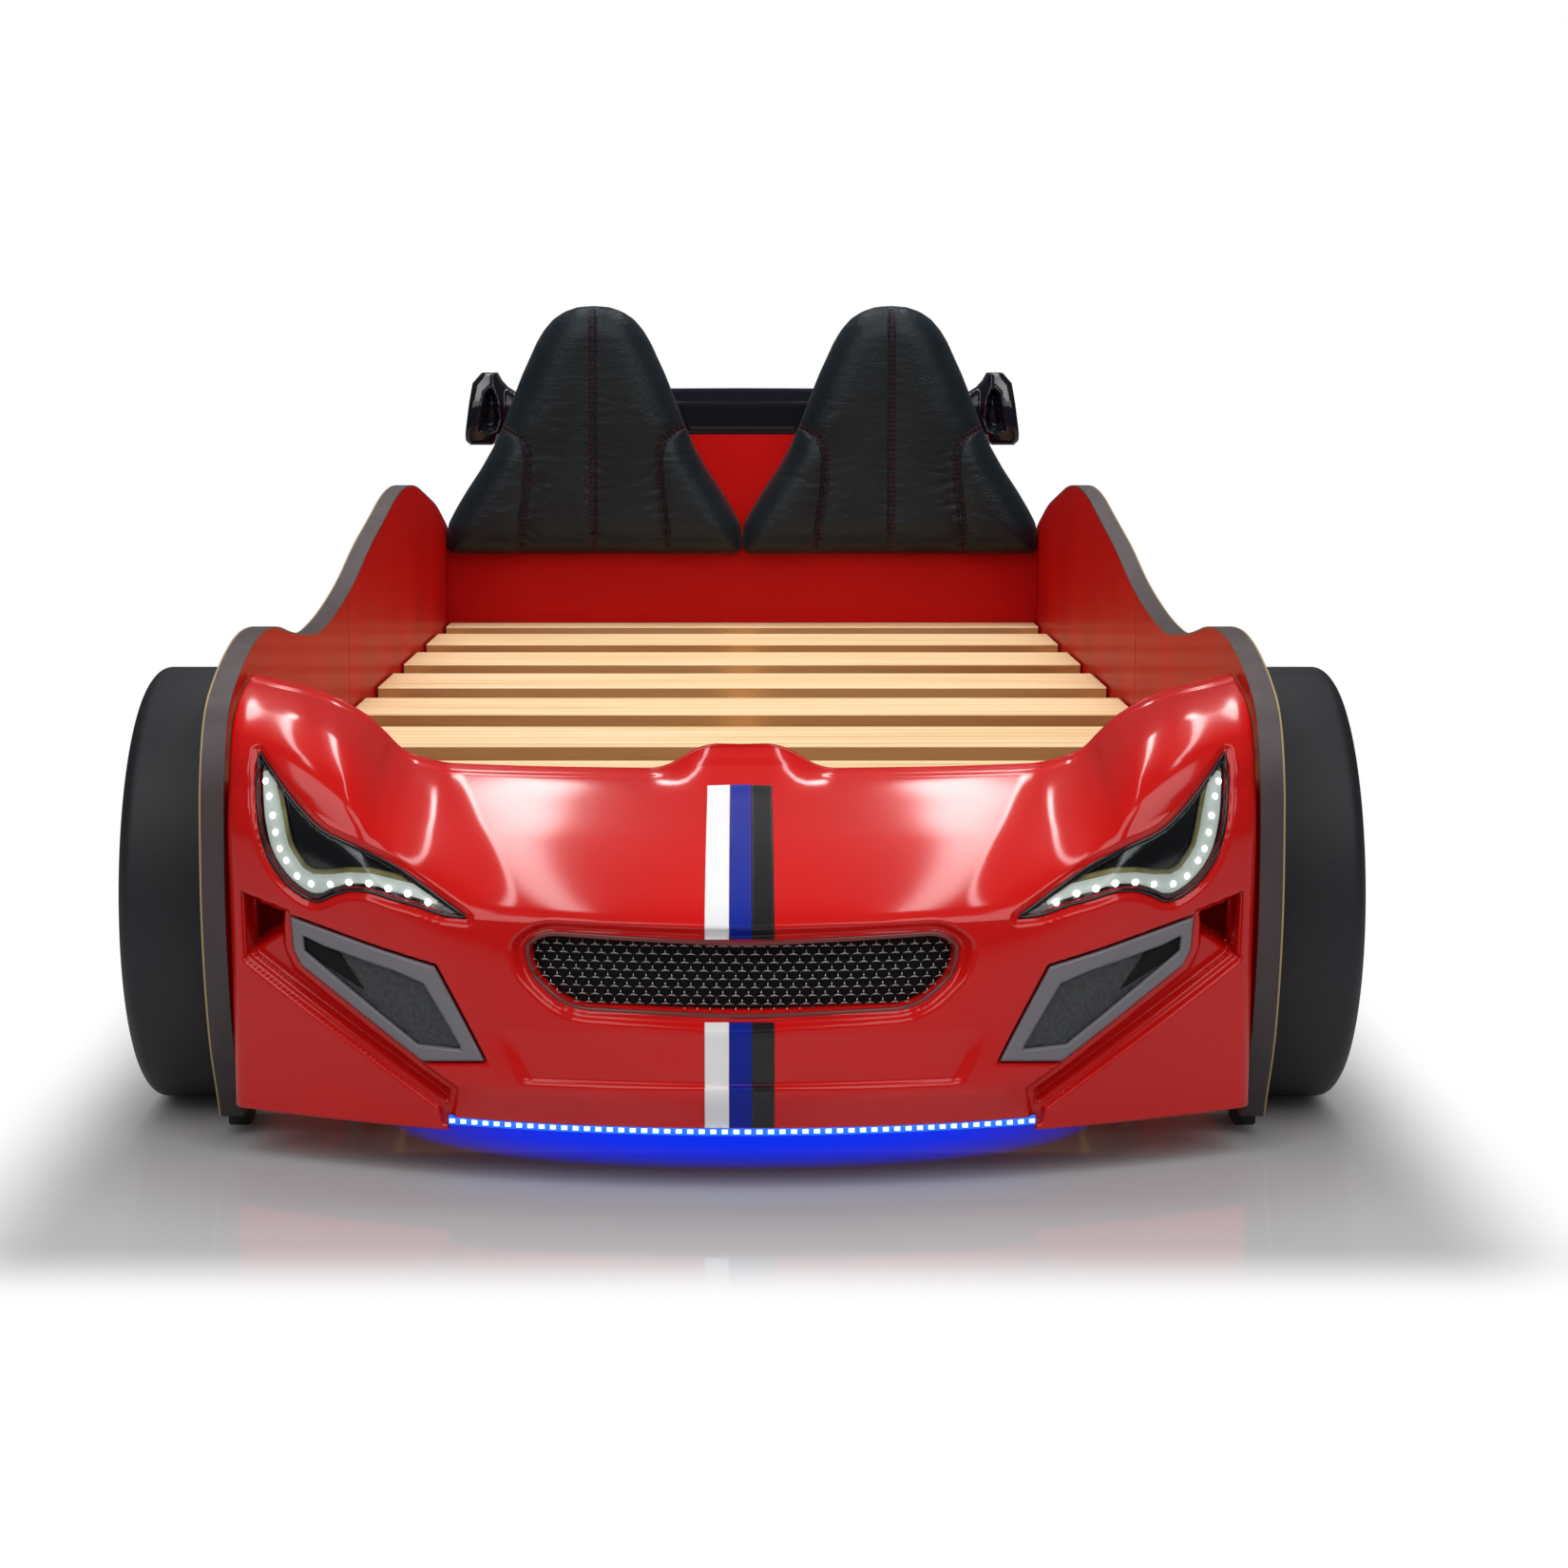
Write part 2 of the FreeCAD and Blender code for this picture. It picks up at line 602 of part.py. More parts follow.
def grille():
    """A honeycomb panel lapped behind the bumper's opening."""
    near = GRILLE_DEPTH + PAN_T
    wire = polygon(GRILLE_INNER, at_front)
    panel = behind_plane(near).common(prism(grown(wire, GRILLE_MARGIN))).cut(behind_plane(near + GRILLE_T))
    radius = (HEX_PITCH - HEX_BAR) / math.sqrt(3)
    window = Part.Face(wire)
    holes = []
    for row in range(-HEX_ROWS, HEX_ROWS + 1):
        z = GRILLE_Z + row * HEX_PITCH * math.sqrt(3) / 2
        for column in range(-HEX_COLUMNS, HEX_COLUMNS + 1):
            x = (column + .5 * (row % 2)) * HEX_PITCH
            corners = ((-radius, 0), (radius, 0), (0, -radius), (0, radius))
            if all(window.isInside(at_front(x + dx, z + dz), .1, True) for dx, dz in corners):
                holes.append(hexagon(x, z, radius))
    return panel.cut(holes)


def headlight():
    """Housing, light band, light chips and clear cover of one headlight, for +X."""
    inside = prism(polygon([p for arc in LAMP_ARCS for p in arc[:2]], at_front))
    h = CHIP_HALF
    chips = [box(x - h, x + h, NOSE_Y, NOSE_Y + 200, z - h, z + h) for x, z in LED_LINE]
    return {"headlight_housings": layer(inside, HOUSING_DEPTHS),
            "headlight_bands": layer(inside, BAND_DEPTHS).common(prism(polygon(LED_BAND, at_front))),
            "headlight_leds": layer(Part.makeCompound(chips), CHIP_DEPTHS),
            "headlight_lenses": layer(prism(lamp_wire()), LENS_DEPTHS)}


def fog_lamp():
    """Bezel and insert of one fog lamp recess, for +X."""
    blank = prism(polygon(FOG_OUTER, at_front))
    return {"fog_bezels": layer(blank, BEZEL_DEPTHS).cut(prism(polygon(FOG_INNER, at_front))),
            "fog_inserts": layer(blank, INSERT_DEPTHS)}


def nose_band(half, near, far, z0, z1):
    """A band that curves with the nose, between two setbacks."""
    ring = behind_nose(near).cut(behind_nose(far))
    return ring.common(box(-half, half, NOSE_Y - 50, NOSE_Y + 150, z0, z1))


def light_strip():
    """The channel under the bumper's lip and its row of light chips."""
    top = LIP_BOTTOM
    floor = STRIP_SETBACK + STRIP_GROOVE
    channel = nose_band(STRIP_HALF, STRIP_SETBACK, STRIP_SETBACK + STRIP_DEPTH, top - STRIP_H, top)
    groove = nose_band(STRIP_HALF - 3, STRIP_SETBACK - 1, floor, top - STRIP_H + STRIP_WALL, top - STRIP_WALL)
    chips = []
    for k in range(LED_COUNT):
        angle = (k - (LED_COUNT - 1) / 2) * LED_PITCH / PLAN_R
        chip = box(-CHIP_HALF, CHIP_HALF, floor - 2, floor, top - STRIP_H + STRIP_WALL, top - STRIP_WALL)
        chip.translate(Vector(0, -PLAN_R, 0))
        chip.rotate(Vector(0, 0, 0), Vector(0, 0, 1), math.degrees(angle))
        chip.translate(Vector(0, NOSE_Y + PLAN_R, 0))
        chips.append(chip)
    return channel.cut(groove), chips


# ---------------------------------------------------------------- front board and electrics
def front_board():
    return box(-IN_X, IN_X, FRONT_BOARD_Y, FRONT_BOARD_Y + PANEL_T, FRONT_BOARD_BOTTOM, FRONT_BOARD_TOP)


def control_box():
    """A closed case on the front board, and its cover."""
    width, depth, height = CONTROL_BOX
    y1 = FRONT_BOARD_Y
    x0, x1 = CONTROL_X - width / 2, CONTROL_X + width / 2
    z0, z1 = CONTROL_Z - height / 2, CONTROL_Z + height / 2
    case = box(x0, x1, y1 - depth, y1, z0, z1)
    case = case.makeChamfer(5, [e for e in case.Edges if abs(e.Length - depth) < 1e-6])
    cover = box(x0 - 1, x1 + 1, y1 - depth - CONTROL_COVER_T, y1 - depth, z0 - 1, z1 + 1)
    return case, cover


# ---------------------------------------------------------------- headboard, seats and wing
def seat_outline(scale, y):
    """A seat back's outline, drawn in evenly towards its middle."""
    half = [(a * scale, SEAT_MIDDLE_Z + (b - SEAT_MIDDLE_Z) * scale) for a, b in SEAT_OUTLINE]
    return polygon(half + [(-a, b) for a, b in half[::-1]], lambda a, b: Vector(a, y, b))


def padding_roll(x0, x1):
    """An upright roll of padding between two seams."""
    middle, half = (x0 + x1) / 2, (x1 - x0) / 2
    radius = (half ** 2 + ROLL_RISE ** 2) / (2 * ROLL_RISE)
    front = HEAD_Y - SEAT_T
    roll = Part.makeCylinder(radius, 600, Vector(middle, front + radius, SEAT_BOTTOM - 100))
    return roll.common(box(x0, x1, front - 1, HEAD_Y, SEAT_BOTTOM - 100, SEAT_BOTTOM + 500))


def seat_cushion():
    """A padded seat back centred on X = 0: four rolls under a crown that draws in towards its edge."""
    crown = []
    for (s0, t0), (s1, t1) in zip(SEAT_CROWN, SEAT_CROWN[1:]):
        wires = [seat_outline(s0, HEAD_Y - t0), seat_outline(s1, HEAD_Y - t1)]
        crown.append(Part.makeLoft(wires, True, True))
    seams = [-SEAT_OUTLINE[1][0], -SEAT_SEAM_X, 0, SEAT_SEAM_X, SEAT_OUTLINE[1][0]]
    rolls = [padding_roll(a, b) for a, b in zip(seams, seams[1:])]
    pad = crown[0].fuse(crown[1:]).removeSplitter()
    return pad.common(rolls[0].fuse(rolls[1:])).removeSplitter()


def headboard():
    """A board whose top follows the two seat backs."""
    board = box(-IN_X, IN_X, HEAD_Y, HEAD_Y + PANEL_T, HEAD_BOTTOM, HEAD_SHOULDER)
    hump = Part.Face(seat_outline(HEAD_SCALE, HEAD_Y)).extrude(Vector(0, PANEL_T, 0))
    hump.translate(Vector(SEAT_X, 0, 0))
    return board.fuse(both_sides(hump)).removeSplitter()


def wing_board():
    """The board behind the headboard that carries the wing on its top edge."""
    half = [(WING_BOARD_HALF, HEAD_BOTTOM), (WING_BOARD_HALF, 400), (WING_BOARD_HALF - 60, WING_BOTTOM)]
    outline = half + [(-a, b) for a, b in half[::-1]]
    wire = rounded_outline(outline, 25, lambda a, b: Vector(a, HEAD_Y + PANEL_T, b))
    return Part.Face(wire).extrude(Vector(0, PANEL_T, 0))


def wing():
    """One moulding: a blade with an upright fin at each end, its section rounded to the front."""
    inner = WING_HALF - FIN_W
    half = [(inner, WING_BOTTOM), (inner, FIN_BOTTOM), (WING_HALF, FIN_BOTTOM), (WING_HALF, FIN_BOTTOM + 24),
            (WING_HALF - 12, FIN_TOP), (WING_HALF - 40, FIN_TOP), (inner - 4, WING_TOP + 6),
            (inner - 30, WING_TOP)]
    outline = half + [(-a, b) for a, b in half[::-1]]
    front = polygon(outline, lambda a, b: Vector(a, WING_FRONT_Y, b))
    blank = Part.Face(front).extrude(Vector(0, TAIL_Y - WING_FRONT_Y, 0))
    y0, y1 = WING_FRONT_Y, TAIL_Y
    side = [(y0 + 12, FIN_BOTTOM - 5), (y1 - 22, FIN_BOTTOM - 5), (y1 - 8, WING_BOTTOM + 20),
            (y1, FIN_TOP + 5), (y0 + 20, FIN_TOP + 5), (y0, WING_BOTTOM + 50), (y0, WING_BOTTOM + 10)]
    section = rounded_outline(side, 12, lambda a, b: Vector(-WING_HALF - 10, a, b))
    return blank.common(Part.Face(section).extrude(Vector(2 * WING_HALF + 20, 0, 0)))


# ---------------------------------------------------------------- fittings
def angle_bracket():
    """A steel angle in the corner of the +X side board and a cross board behind it."""
    z0, z1 = BRACKET_Z, BRACKET_Z + BRACKET_H
    across = box(IN_X - BRACKET_LEG, IN_X, -BRACKET_T, 0, z0, z1)
    return across.fuse(box(IN_X - BRACKET_T, IN_X, -BRACKET_LEG, 0, z0, z1)).removeSplitter()


def hex_head(centre, direction):
    """A hexagon screw head that stands on a face at centre."""
    side = Vector(0, 0, 1)
    across = direction.cross(side)
    turns = [math.radians(60 * k) for k in range(7)]
    points = [centre + (side * math.cos(t) + across * math.sin(t)) * HEX_HEAD_R for t in turns]
    return Part.Face(Part.makePolygon(points)).extrude(direction * HEX_HEAD_H)


def corner_fittings():
    """Angles at the four corners and their screws."""
    brackets = []
    screws = []
    for y, facing in ((HEAD_Y, -1), (FRONT_BOARD_Y + PANEL_T, 1)):
        bracket = angle_bracket()
        if facing > 0:
            bracket = bracket.mirror(Vector(0, 0, 0), Vector(0, 1, 0))
        bracket.translate(Vector(0, y, 0))
        brackets += both_sides(bracket)
        for z in (BRACKET_Z + BRACKET_END, BRACKET_Z + BRACKET_H - BRACKET_END):
            across = Vector(IN_X - BRACKET_HOLE, y + facing * BRACKET_T, z)
            along = Vector(IN_X - BRACKET_T, y + facing * BRACKET_HOLE, z)
            screws += both_sides(hex_head(across, Vector(0, facing, 0)))
            screws += both_sides(hex_head(along, Vector(-1, 0, 0)))
    return brackets, screws


def joint_plate():
    """A plate across the joint of the side boards, and its bolts, for +X."""
    plate = box(IN_X - PLATE_T, IN_X, SEAM_Y - PLATE_L / 2, SEAM_Y + PLATE_L / 2, PLATE_Z, PLATE_Z + PLATE_H)
    plate = plate.makeChamfer(8, [e for e in plate.Edges if abs(e.Length - PLATE_T) < 1e-6])
    bolts = [hex_head(Vector(IN_X - PLATE_T, SEAM_Y + dy, PLATE_Z + dz), Vector(-1, 0, 0))
             for dy in (-50, 50) for dz in (22, PLATE_H - 22)]
    return plate, bolts


def wheel_bolts():
    heads = [hex_head(Vector(IN_X, y, WHEEL_Z), Vector(-1, 0, 0)) for y in WHEEL_YS]
    return [shape for head in heads for shape in both_sides(head)]


def export_pair(name, shapes):
    """Writes the +X piece and its mirror image."""
    pieces = shapes if isinstance(shapes, list) else [shapes]
    export(name + "_right", pieces)
    export(name + "_left", [mirrored(piece) for piece in pieces])


def main():
    os.makedirs(OUT, exist_ok=True)
    for name, shape in side_boards().items():
        export_pair(name, shape)
    for number, slat in enumerate(slats(), 1):
        export("slat_%d" % number, slat)
    export_pair("side_rail", side_rail())
    export("centre_beam", centre_beam())
    export("centre_legs", centre_legs())
    export("floor_glides", floor_glides())
    for name, shape in {"tyres": tyre(), "rims": rim(), "hub_caps": hub_cap()}.items():
        export(name, at_wheels(shape))
    export("wheel_bolts", wheel_bolts())
    export("front_board", front_board())
    case, cover = control_box()
    export("control_box", case)
    export("control_box_cover", cover)
    export("headboard", headboard())
    cushion = seat_cushion()
    cushion.translate(Vector(SEAT_X, 0, 0))
    export_pair("seat_cushion", cushion)
    export("wing_board", wing_board())
    export("wing", wing())
    brackets, screws = corner_fittings()
    export("corner_brackets", brackets)
    export("bracket_screws", screws)
    plate, bolts = joint_plate()
    export_pair("joint_plate", plate)
    export("joint_bolts", [shape for bolt in bolts for shape in both_sides(bolt)])
    channel, chips = light_strip()
    export("light_strip_channel", channel)
    export("light_strip_leds", chips)
    export("grille", grille())
    for name, shape in list(headlight().items()) + list(fog_lamp().items()):
        export(name, both_sides(shape))
    export("bumper", bumper())


main()
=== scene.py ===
"""Looks for the children's car bed: Blender 4.5, metres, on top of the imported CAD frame."""

import json
import math

import bmesh
import bpy
import numpy as np
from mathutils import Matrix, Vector


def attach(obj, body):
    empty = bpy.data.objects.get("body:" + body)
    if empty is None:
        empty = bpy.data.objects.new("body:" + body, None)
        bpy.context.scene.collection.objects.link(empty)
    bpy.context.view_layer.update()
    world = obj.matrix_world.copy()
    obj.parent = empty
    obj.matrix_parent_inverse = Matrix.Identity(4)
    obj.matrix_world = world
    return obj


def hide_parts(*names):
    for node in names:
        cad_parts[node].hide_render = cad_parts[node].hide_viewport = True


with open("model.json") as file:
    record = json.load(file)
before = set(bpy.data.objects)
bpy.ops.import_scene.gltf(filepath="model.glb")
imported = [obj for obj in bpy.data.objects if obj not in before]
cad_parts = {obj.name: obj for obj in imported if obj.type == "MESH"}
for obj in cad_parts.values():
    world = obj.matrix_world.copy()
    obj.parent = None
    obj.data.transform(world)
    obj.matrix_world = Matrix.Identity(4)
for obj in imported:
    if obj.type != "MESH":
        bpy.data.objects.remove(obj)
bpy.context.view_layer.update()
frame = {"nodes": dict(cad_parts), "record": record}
NODES = frame["nodes"]
MM = .001
GILT_X = .4804          # outer corner of the side boards' edge band, in metres

# ---------------------------------------------------------------- the bumper's form, in millimetres
NOSE_Y = -1167.5
BUMPER_X = 457.0        # half its width
SIDE_ROUND = 12.0       # rounding of the skin at its sides
BOTTOM = 45.0
LIP_BOTTOM = 57.0       # the middle ends higher, with the light strip below it
LIP_HALF = 258.0
RUN = 285.0             # from the nose back to the rear edge
SKIN = 4.0              # thickness of the moulding
PLAN_R = 805.0          # radius of the nose in plan
STRIPE_TOP = 321.0
# Where the skin lies behind the nose, over the share of its height, on the bonnet and on the fenders.
HOOD = [(0, 14), (.042, 12), (.165, 0), (.344, 3), (.51, 3), (.653, 8), (.677, 14), (.761, 50), (.853, 110),
        (.923, 180), (.979, 250), (1, RUN)]
FENDER = [(0, 18), (.192, 9), (.439, -4), (.662, -11), (.818, 5.5), (.896, 37), (.956, 110), (.987, 211), (1, RUN)]
# Height of the rear edge over X, and where the bonnet's section gives way to the fender's.
TOP_EDGE = [(0, 330), (270, 336), (300, 342), (319, 351), (334, 366), (350, 381), (394, 404), (440, 416), (457, 421)]
VALLEY_START = [(.6, 185), (.69, 190), (1, 262)]
VALLEY_END = [(.6, 330), (.69, 330), (1, 368)]

# Outlines in X and Z, for the side with positive X.
LAMP = [(428, 367), (416, 353), (392, 326), (367, 305), (336, 292), (306, 278), (277, 260), (252, 244), (238, 235),
        (258, 237), (281, 244), (305, 250), (323, 255), (341, 255), (356, 250), (372, 243), (391, 250), (410, 268),
        (421, 290), (427, 321), (429, 349)]
LED_LINE = [(421, 343), (417, 330), (413, 314), (410, 300), (406, 286), (400, 276), (390, 263), (377, 257),
            (359, 258), (342, 261), (324, 261), (307, 257), (290, 253), (272, 246)]
FOG_OUTER = [(398, 228), (265, 193), (221, 110), (279, 105), (389, 183), (396, 197)]
FOG_INNER = [(385, 210), (367, 203), (302, 186), (276, 176), (243, 120), (282, 121), (384, 197)]
SLOT = [(444, 245), (424, 236), (402, 230), (405, 208), (443, 183)]
DUCT = [(444, 245), (398, 232), (396, 197), (389, 183), (279, 105), (246, 84), (252, 50), (262, 50), (264, 64),
        (443, 183)]
# The grille's recess and its opening, whole.
GRILLE_OUTER = [(-204, 216), (-176, 237), (0, 232), (176, 237), (204, 216), (196, 186), (158, 150), (0, 142),
                (-158, 150), (-196, 186)]
GRILLE_INNER = [(-184, 213), (-166, 222), (0, 216), (166, 222), (184, 213), (178, 186), (148, 161), (0, 156.5),
                (-148, 161), (-178, 186)]


def monotone(x, table):
    """Smooth monotone interpolation through a table, for arrays."""
    x = np.asarray(x, float)
    px, py = np.array(table, float).T
    h, d = np.diff(px), np.diff(py) / np.diff(px)
    w1, w2 = 2 * h[1:] + h[:-1], h[1:] + 2 * h[:-1]
    with np.errstate(divide="ignore", invalid="ignore"):
        inner = np.where(d[:-1] * d[1:] > 0, (w1 + w2) / (w1 / d[:-1] + w2 / d[1:]), 0.0)
    m = np.concatenate(([d[0]], np.nan_to_num(inner), [d[-1]]))
    x = np.clip(x, px[0], px[-1])
    i = np.clip(np.searchsorted(px, x, side="right") - 1, 0, len(h) - 1)
    t = (x - px[i]) / h[i]
    return ((2 * t ** 3 - 3 * t ** 2 + 1) * py[i] + (t ** 3 - 2 * t ** 2 + t) * h[i] * m[i]
            + (3 * t ** 2 - 2 * t ** 3) * py[i + 1] + (t ** 3 - t ** 2) * h[i] * m[i + 1])


def smooth(x, low, high):
    """A soft step from 0 to 1."""
    t = np.clip((x - low) / (high - low), 0, 1)
    return t * t * (3 - 2 * t)


def polygon_distance(points, x, z):
    """Signed distance to a closed outline, negative inside."""
    best = np.full(np.shape(x), 1e9)
    inside = np.zeros(np.shape(x), bool)
    for (ax, az), (bx, bz) in zip(points, points[1:] + points[:1]):
        ex, ez = bx - ax, bz - az
        t = np.clip(((x - ax) * ex + (z - az) * ez) / (ex * ex + ez * ez), 0, 1)
        best = np.minimum(best, (x - ax - ex * t) ** 2 + (z - az - ez * t) ** 2)
        if az != bz:
            inside ^= ((az > z) != (bz > z)) & (x < ax + (z - az) * ex / ez)
    return np.where(inside, -1, 1) * np.sqrt(best)


def line_distance(points, x, z):
    """Distance to an open line through points."""
    best = np.full(np.shape(x), 1e9)
    for (ax, az), (bx, bz) in zip(points, points[1:]):
        ex, ez = bx - ax, bz - az
        t = np.clip(((x - ax) * ex + (z - az) * ez) / (ex * ex + ez * ez), 0, 1)
        best = np.minimum(best, (x - ax - ex * t) ** 2 + (z - az - ez * t) ** 2)
    return np.sqrt(best)


def curved(points, steps):
    """A closed outline rounded through its points, except where it turns sharply."""
    count = len(points)
    p = [np.array(q, float) for q in points]
    tangent = []
    for i in range(count):
        a, b = p[i] - p[i - 1], p[(i + 1) % count] - p[i]
        turn = a @ b / (np.linalg.norm(a) * np.linalg.norm(b))
        tangent.append((a / np.linalg.norm(a) + b / np.linalg.norm(b)) / 2 if turn > .3 else None)
    out = []
    for i in range(count):
        a, b = p[i], p[(i + 1) % count]
        length = np.linalg.norm(b - a)
        ta = (tangent[i] if tangent[i] is not None else (b - a) / length) * length
        tb = (tangent[(i + 1) % count] if tangent[(i + 1) % count] is not None else (b - a) / length) * length
        for k in range(steps):
            t = k / steps
            q = ((2 * t ** 3 - 3 * t ** 2 + 1) * a + (t ** 3 - 2 * t ** 2 + t) * ta
                 + (3 * t ** 2 - 2 * t ** 3) * b + (t ** 3 - t ** 2) * tb)
            out.append((float(q[0]), float(q[1])))
    return out


def rounded(points, radius, steps=5):
    """A closed profile with its corners rounded."""
    out = []
    count = len(points)
    for i in range(count):
        p = np.array(points[i], float)
        a, b = np.array(points[i - 1], float) - p, np.array(points[(i + 1) % count], float) - p
        la, lb = np.linalg.norm(a), np.linalg.norm(b)
        reach = min(radius, .45 * la, .45 * lb)
        start, end = p + a / la * reach, p + b / lb * reach
        for k in range(steps + 1):
            t = k / steps
            out.append(tuple((1 - t) ** 2 * start + 2 * t * (1 - t) * p + t * t * end))
    return out


LAMP = curved(LAMP, 3)
GRILLE_OUTER = rounded(GRILLE_OUTER, 30, 4)
GRILLE_INNER = rounded(GRILLE_INNER, 20, 4)


def top_edge(x):
    return monotone(np.abs(x), TOP_EDGE)


def bow(x):
    """The nose's curve in plan."""
    return x * x / (2 * PLAN_R)


def setback(x, z):
    """How far the bumper's skin lies behind the nose's foremost line."""
    share = np.clip((z - BOTTOM) / (top_edge(x) - BOTTOM), 0, 1)
    width = np.abs(x)
    fender = smooth(width, monotone(share, VALLEY_START), monotone(share, VALLEY_END))
    rel = (1 - fender) * monotone(share, HOOD) + fender * monotone(share, FENDER)
    plan = bow(x) * (1 - np.maximum(rel, 0) / RUN)
    edge = np.clip((width - (BUMPER_X - SIDE_ROUND)) / SIDE_ROUND, 0, 1)
    return plan + rel + 10 * (1 - np.sqrt(1 - edge ** 2 * .99)) * (1 - rel / RUN)


def relief(x, z):
    """Depth of the moulded pockets, less the height of the beads round them."""
    side = np.abs(x)
    lamp, duct, fog, slot = (polygon_distance(shape, side, z) for shape in (LAMP, DUCT, FOG_OUTER, SLOT))
    outer, inner = (polygon_distance(shape, x, z) for shape in (GRILLE_OUTER, GRILLE_INNER))
    # The chin's step back, with slanted ends.
    depth = 6 * np.clip((140 - z) / 42, 0, 1) * smooth(z, 94, 97) * smooth(212 - (138 - z) * .477 - side, -2, 14)
    # Lamp: a sunk surround with a bead, then the pan.
    depth += 4.5 * smooth(-lamp, -8.5, -1.5) - 1.9 * np.exp(-((lamp - 8.6) / 1.9) ** 2)
    depth += 15 * smooth(-lamp, -1, 1.5)
    # Grille: the recess and the opening's wall, each with a bead.
    depth += 12 * smooth(-outer, -1, 12) - 1.5 * np.exp(-((outer - 1.5) / 3) ** 2)
    depth += 34 * smooth(-inner, 0, 4) - 4.2 * np.exp(-((inner - 3.4) / 2.3) ** 2)
    # Duct in two steps, the frame's pocket, and the slot at the duct's upper end.
    depth += 9 * smooth(-duct, -1.5, 2) + 11 * smooth(-duct, 7, 10) - 1.2 * np.exp(-((duct - 1.5) / 2) ** 2)
    depth = np.maximum(depth, 13 * smooth(-fog, -1.5, 1.5))
    return depth + 30 * smooth(-slot, 1, 5)


def hump(x, z):
    """How far the middle of the rear edge and the bead along it rise over the rest."""
    rise, start, run, slope = 24, 205, 79, 38
    back, side = setback(x, z), np.abs(x)
    # Straight flanks with softened corners: the mean of five of them, side by side.
    flank = sum(np.clip((reach - side) / slope, 0, 1) for reach in (86, 80, 74, 68, 62)) / 5
    return rise * flank * np.clip((back - start) / run, 0, 1) ** 2 + 1.2 * smooth(back, 260, 270)


def skin_y(x, z):
    return NOSE_Y + setback(x, z)


# ---------------------------------------------------------------- materials
def put(node, **values):
    """Sets a node's properties and unlinked sockets; an underscore stands for a space in a socket's name."""
    for key, value in values.items():
        if hasattr(node, key):
            setattr(node, key, value)
        else:
            node.inputs[key.replace("_", " ")].default_value = value
    return node


class Tree:
    """The node tree of a material or of the world, with short ways to add to it."""

    def __init__(self, owner):
        owner.use_nodes = True
        self.owner = owner
        self.nodes, self.links = owner.node_tree.nodes, owner.node_tree.links
        self.shader = self.nodes.get("Principled BSDF")

    def new(self, kind, **values):
        return put(self.nodes.new("ShaderNode" + kind), **values)

    def join(self, value, socket):
        """Links an output to a socket, or sets the socket where the value is a constant."""
        if isinstance(value, (int, float, tuple)):
            socket.default_value = value
        else:
            self.links.new(value, socket)

    def feed(self, socket, value):
        self.links.new(value, self.shader.inputs[socket])

    def mapped(self, scale=(1, 1, 1)):
        """Object coordinates, stretched."""
        mapping = self.new("Mapping", Scale=scale)
        self.join(self.new("TexCoord").outputs["Object"], mapping.inputs["Vector"])
        return mapping.outputs["Vector"]

    def split(self, vector):
        node = self.new("SeparateXYZ")
        self.join(vector, node.inputs[0])
        return node.outputs

    def noise(self, vector, scale, detail=3.0, rough=.55):
        node = self.new("TexNoise", Scale=scale, Detail=detail, Roughness=rough)
        self.join(vector, node.inputs["Vector"])
        return node.outputs["Fac"]

    def ramp(self, factor, *stops):
        node = self.new("ValToRGB")
        elements = node.color_ramp.elements
        while len(elements) < len(stops):
            elements.new(.5)
        for element, (position, colour) in zip(elements, stops):
            element.position = position
            element.color = (*colour, 1)
        self.join(factor, node.inputs["Fac"])
        return node.outputs["Color"]

    def ranged(self, factor, low, high):
        """A factor from 0 to 1, spread over another range."""
        node = self.new("MapRange", To_Min=low, To_Max=high)
        self.join(factor, node.inputs["Value"])
        return node.outputs["Result"]

    def sums(self, operation, *values):
        """One Math node over outputs or numbers."""
        node = self.new("Math", operation=operation)
        for value, socket in zip(values, node.inputs):
            self.join(value, socket)
        return node.outputs[0]

    def tinted(self, kind, amount, first, second):
        """Two colours mixed."""
        node = self.new("MixRGB", blend_type=kind)
        for value, socket in zip((amount, first, second), node.inputs):
            self.join(value, socket)
        return node.outputs["Color"]

    def blended(self, factor, first, second):
        """Two shaders mixed."""
        node = self.new("MixShader")
        for value, socket in zip((factor, first, second), node.inputs):
            self.join(value, socket)
        return node.outputs[0]

    def bump(self, height, distance, strength, under=None):
        node = self.new("Bump", Strength=strength, Distance=distance)
        self.join(height, node.inputs["Height"])
        if under:
            self.join(under, node.inputs["Normal"])
        self.feed("Normal", node.outputs["Normal"])
        return node.outputs["Normal"]


def material(name):
    return Tree(bpy.data.materials.new(name))


def shade(colour, factor):
    return tuple(min(1, c * factor) for c in colour)


def plastic(name, colour, rough, vary=.06, grain=400, depth=.0002, coat=0.0, metal=0.0, cloudy=4, specular=.5):
    """Moulded or painted surface: slight clouding of its colour, uneven gloss and a fine grain."""
    tree = material(name)
    vector = tree.mapped()
    cloud = tree.noise(vector, cloudy)
    tree.feed("Base Color", tree.ramp(cloud, (.3, shade(colour, 1 - vary)), (.7, shade(colour, 1 + vary))))
    tree.feed("Roughness", tree.ranged(cloud, rough * .85, rough * 1.15))
    put(tree.shader, Metallic=metal, Coat_Weight=coat, Coat_Roughness=.06, Specular_IOR_Level=specular)
    tree.bump(tree.noise(vector, grain, 2), depth, .6)
    return tree.owner


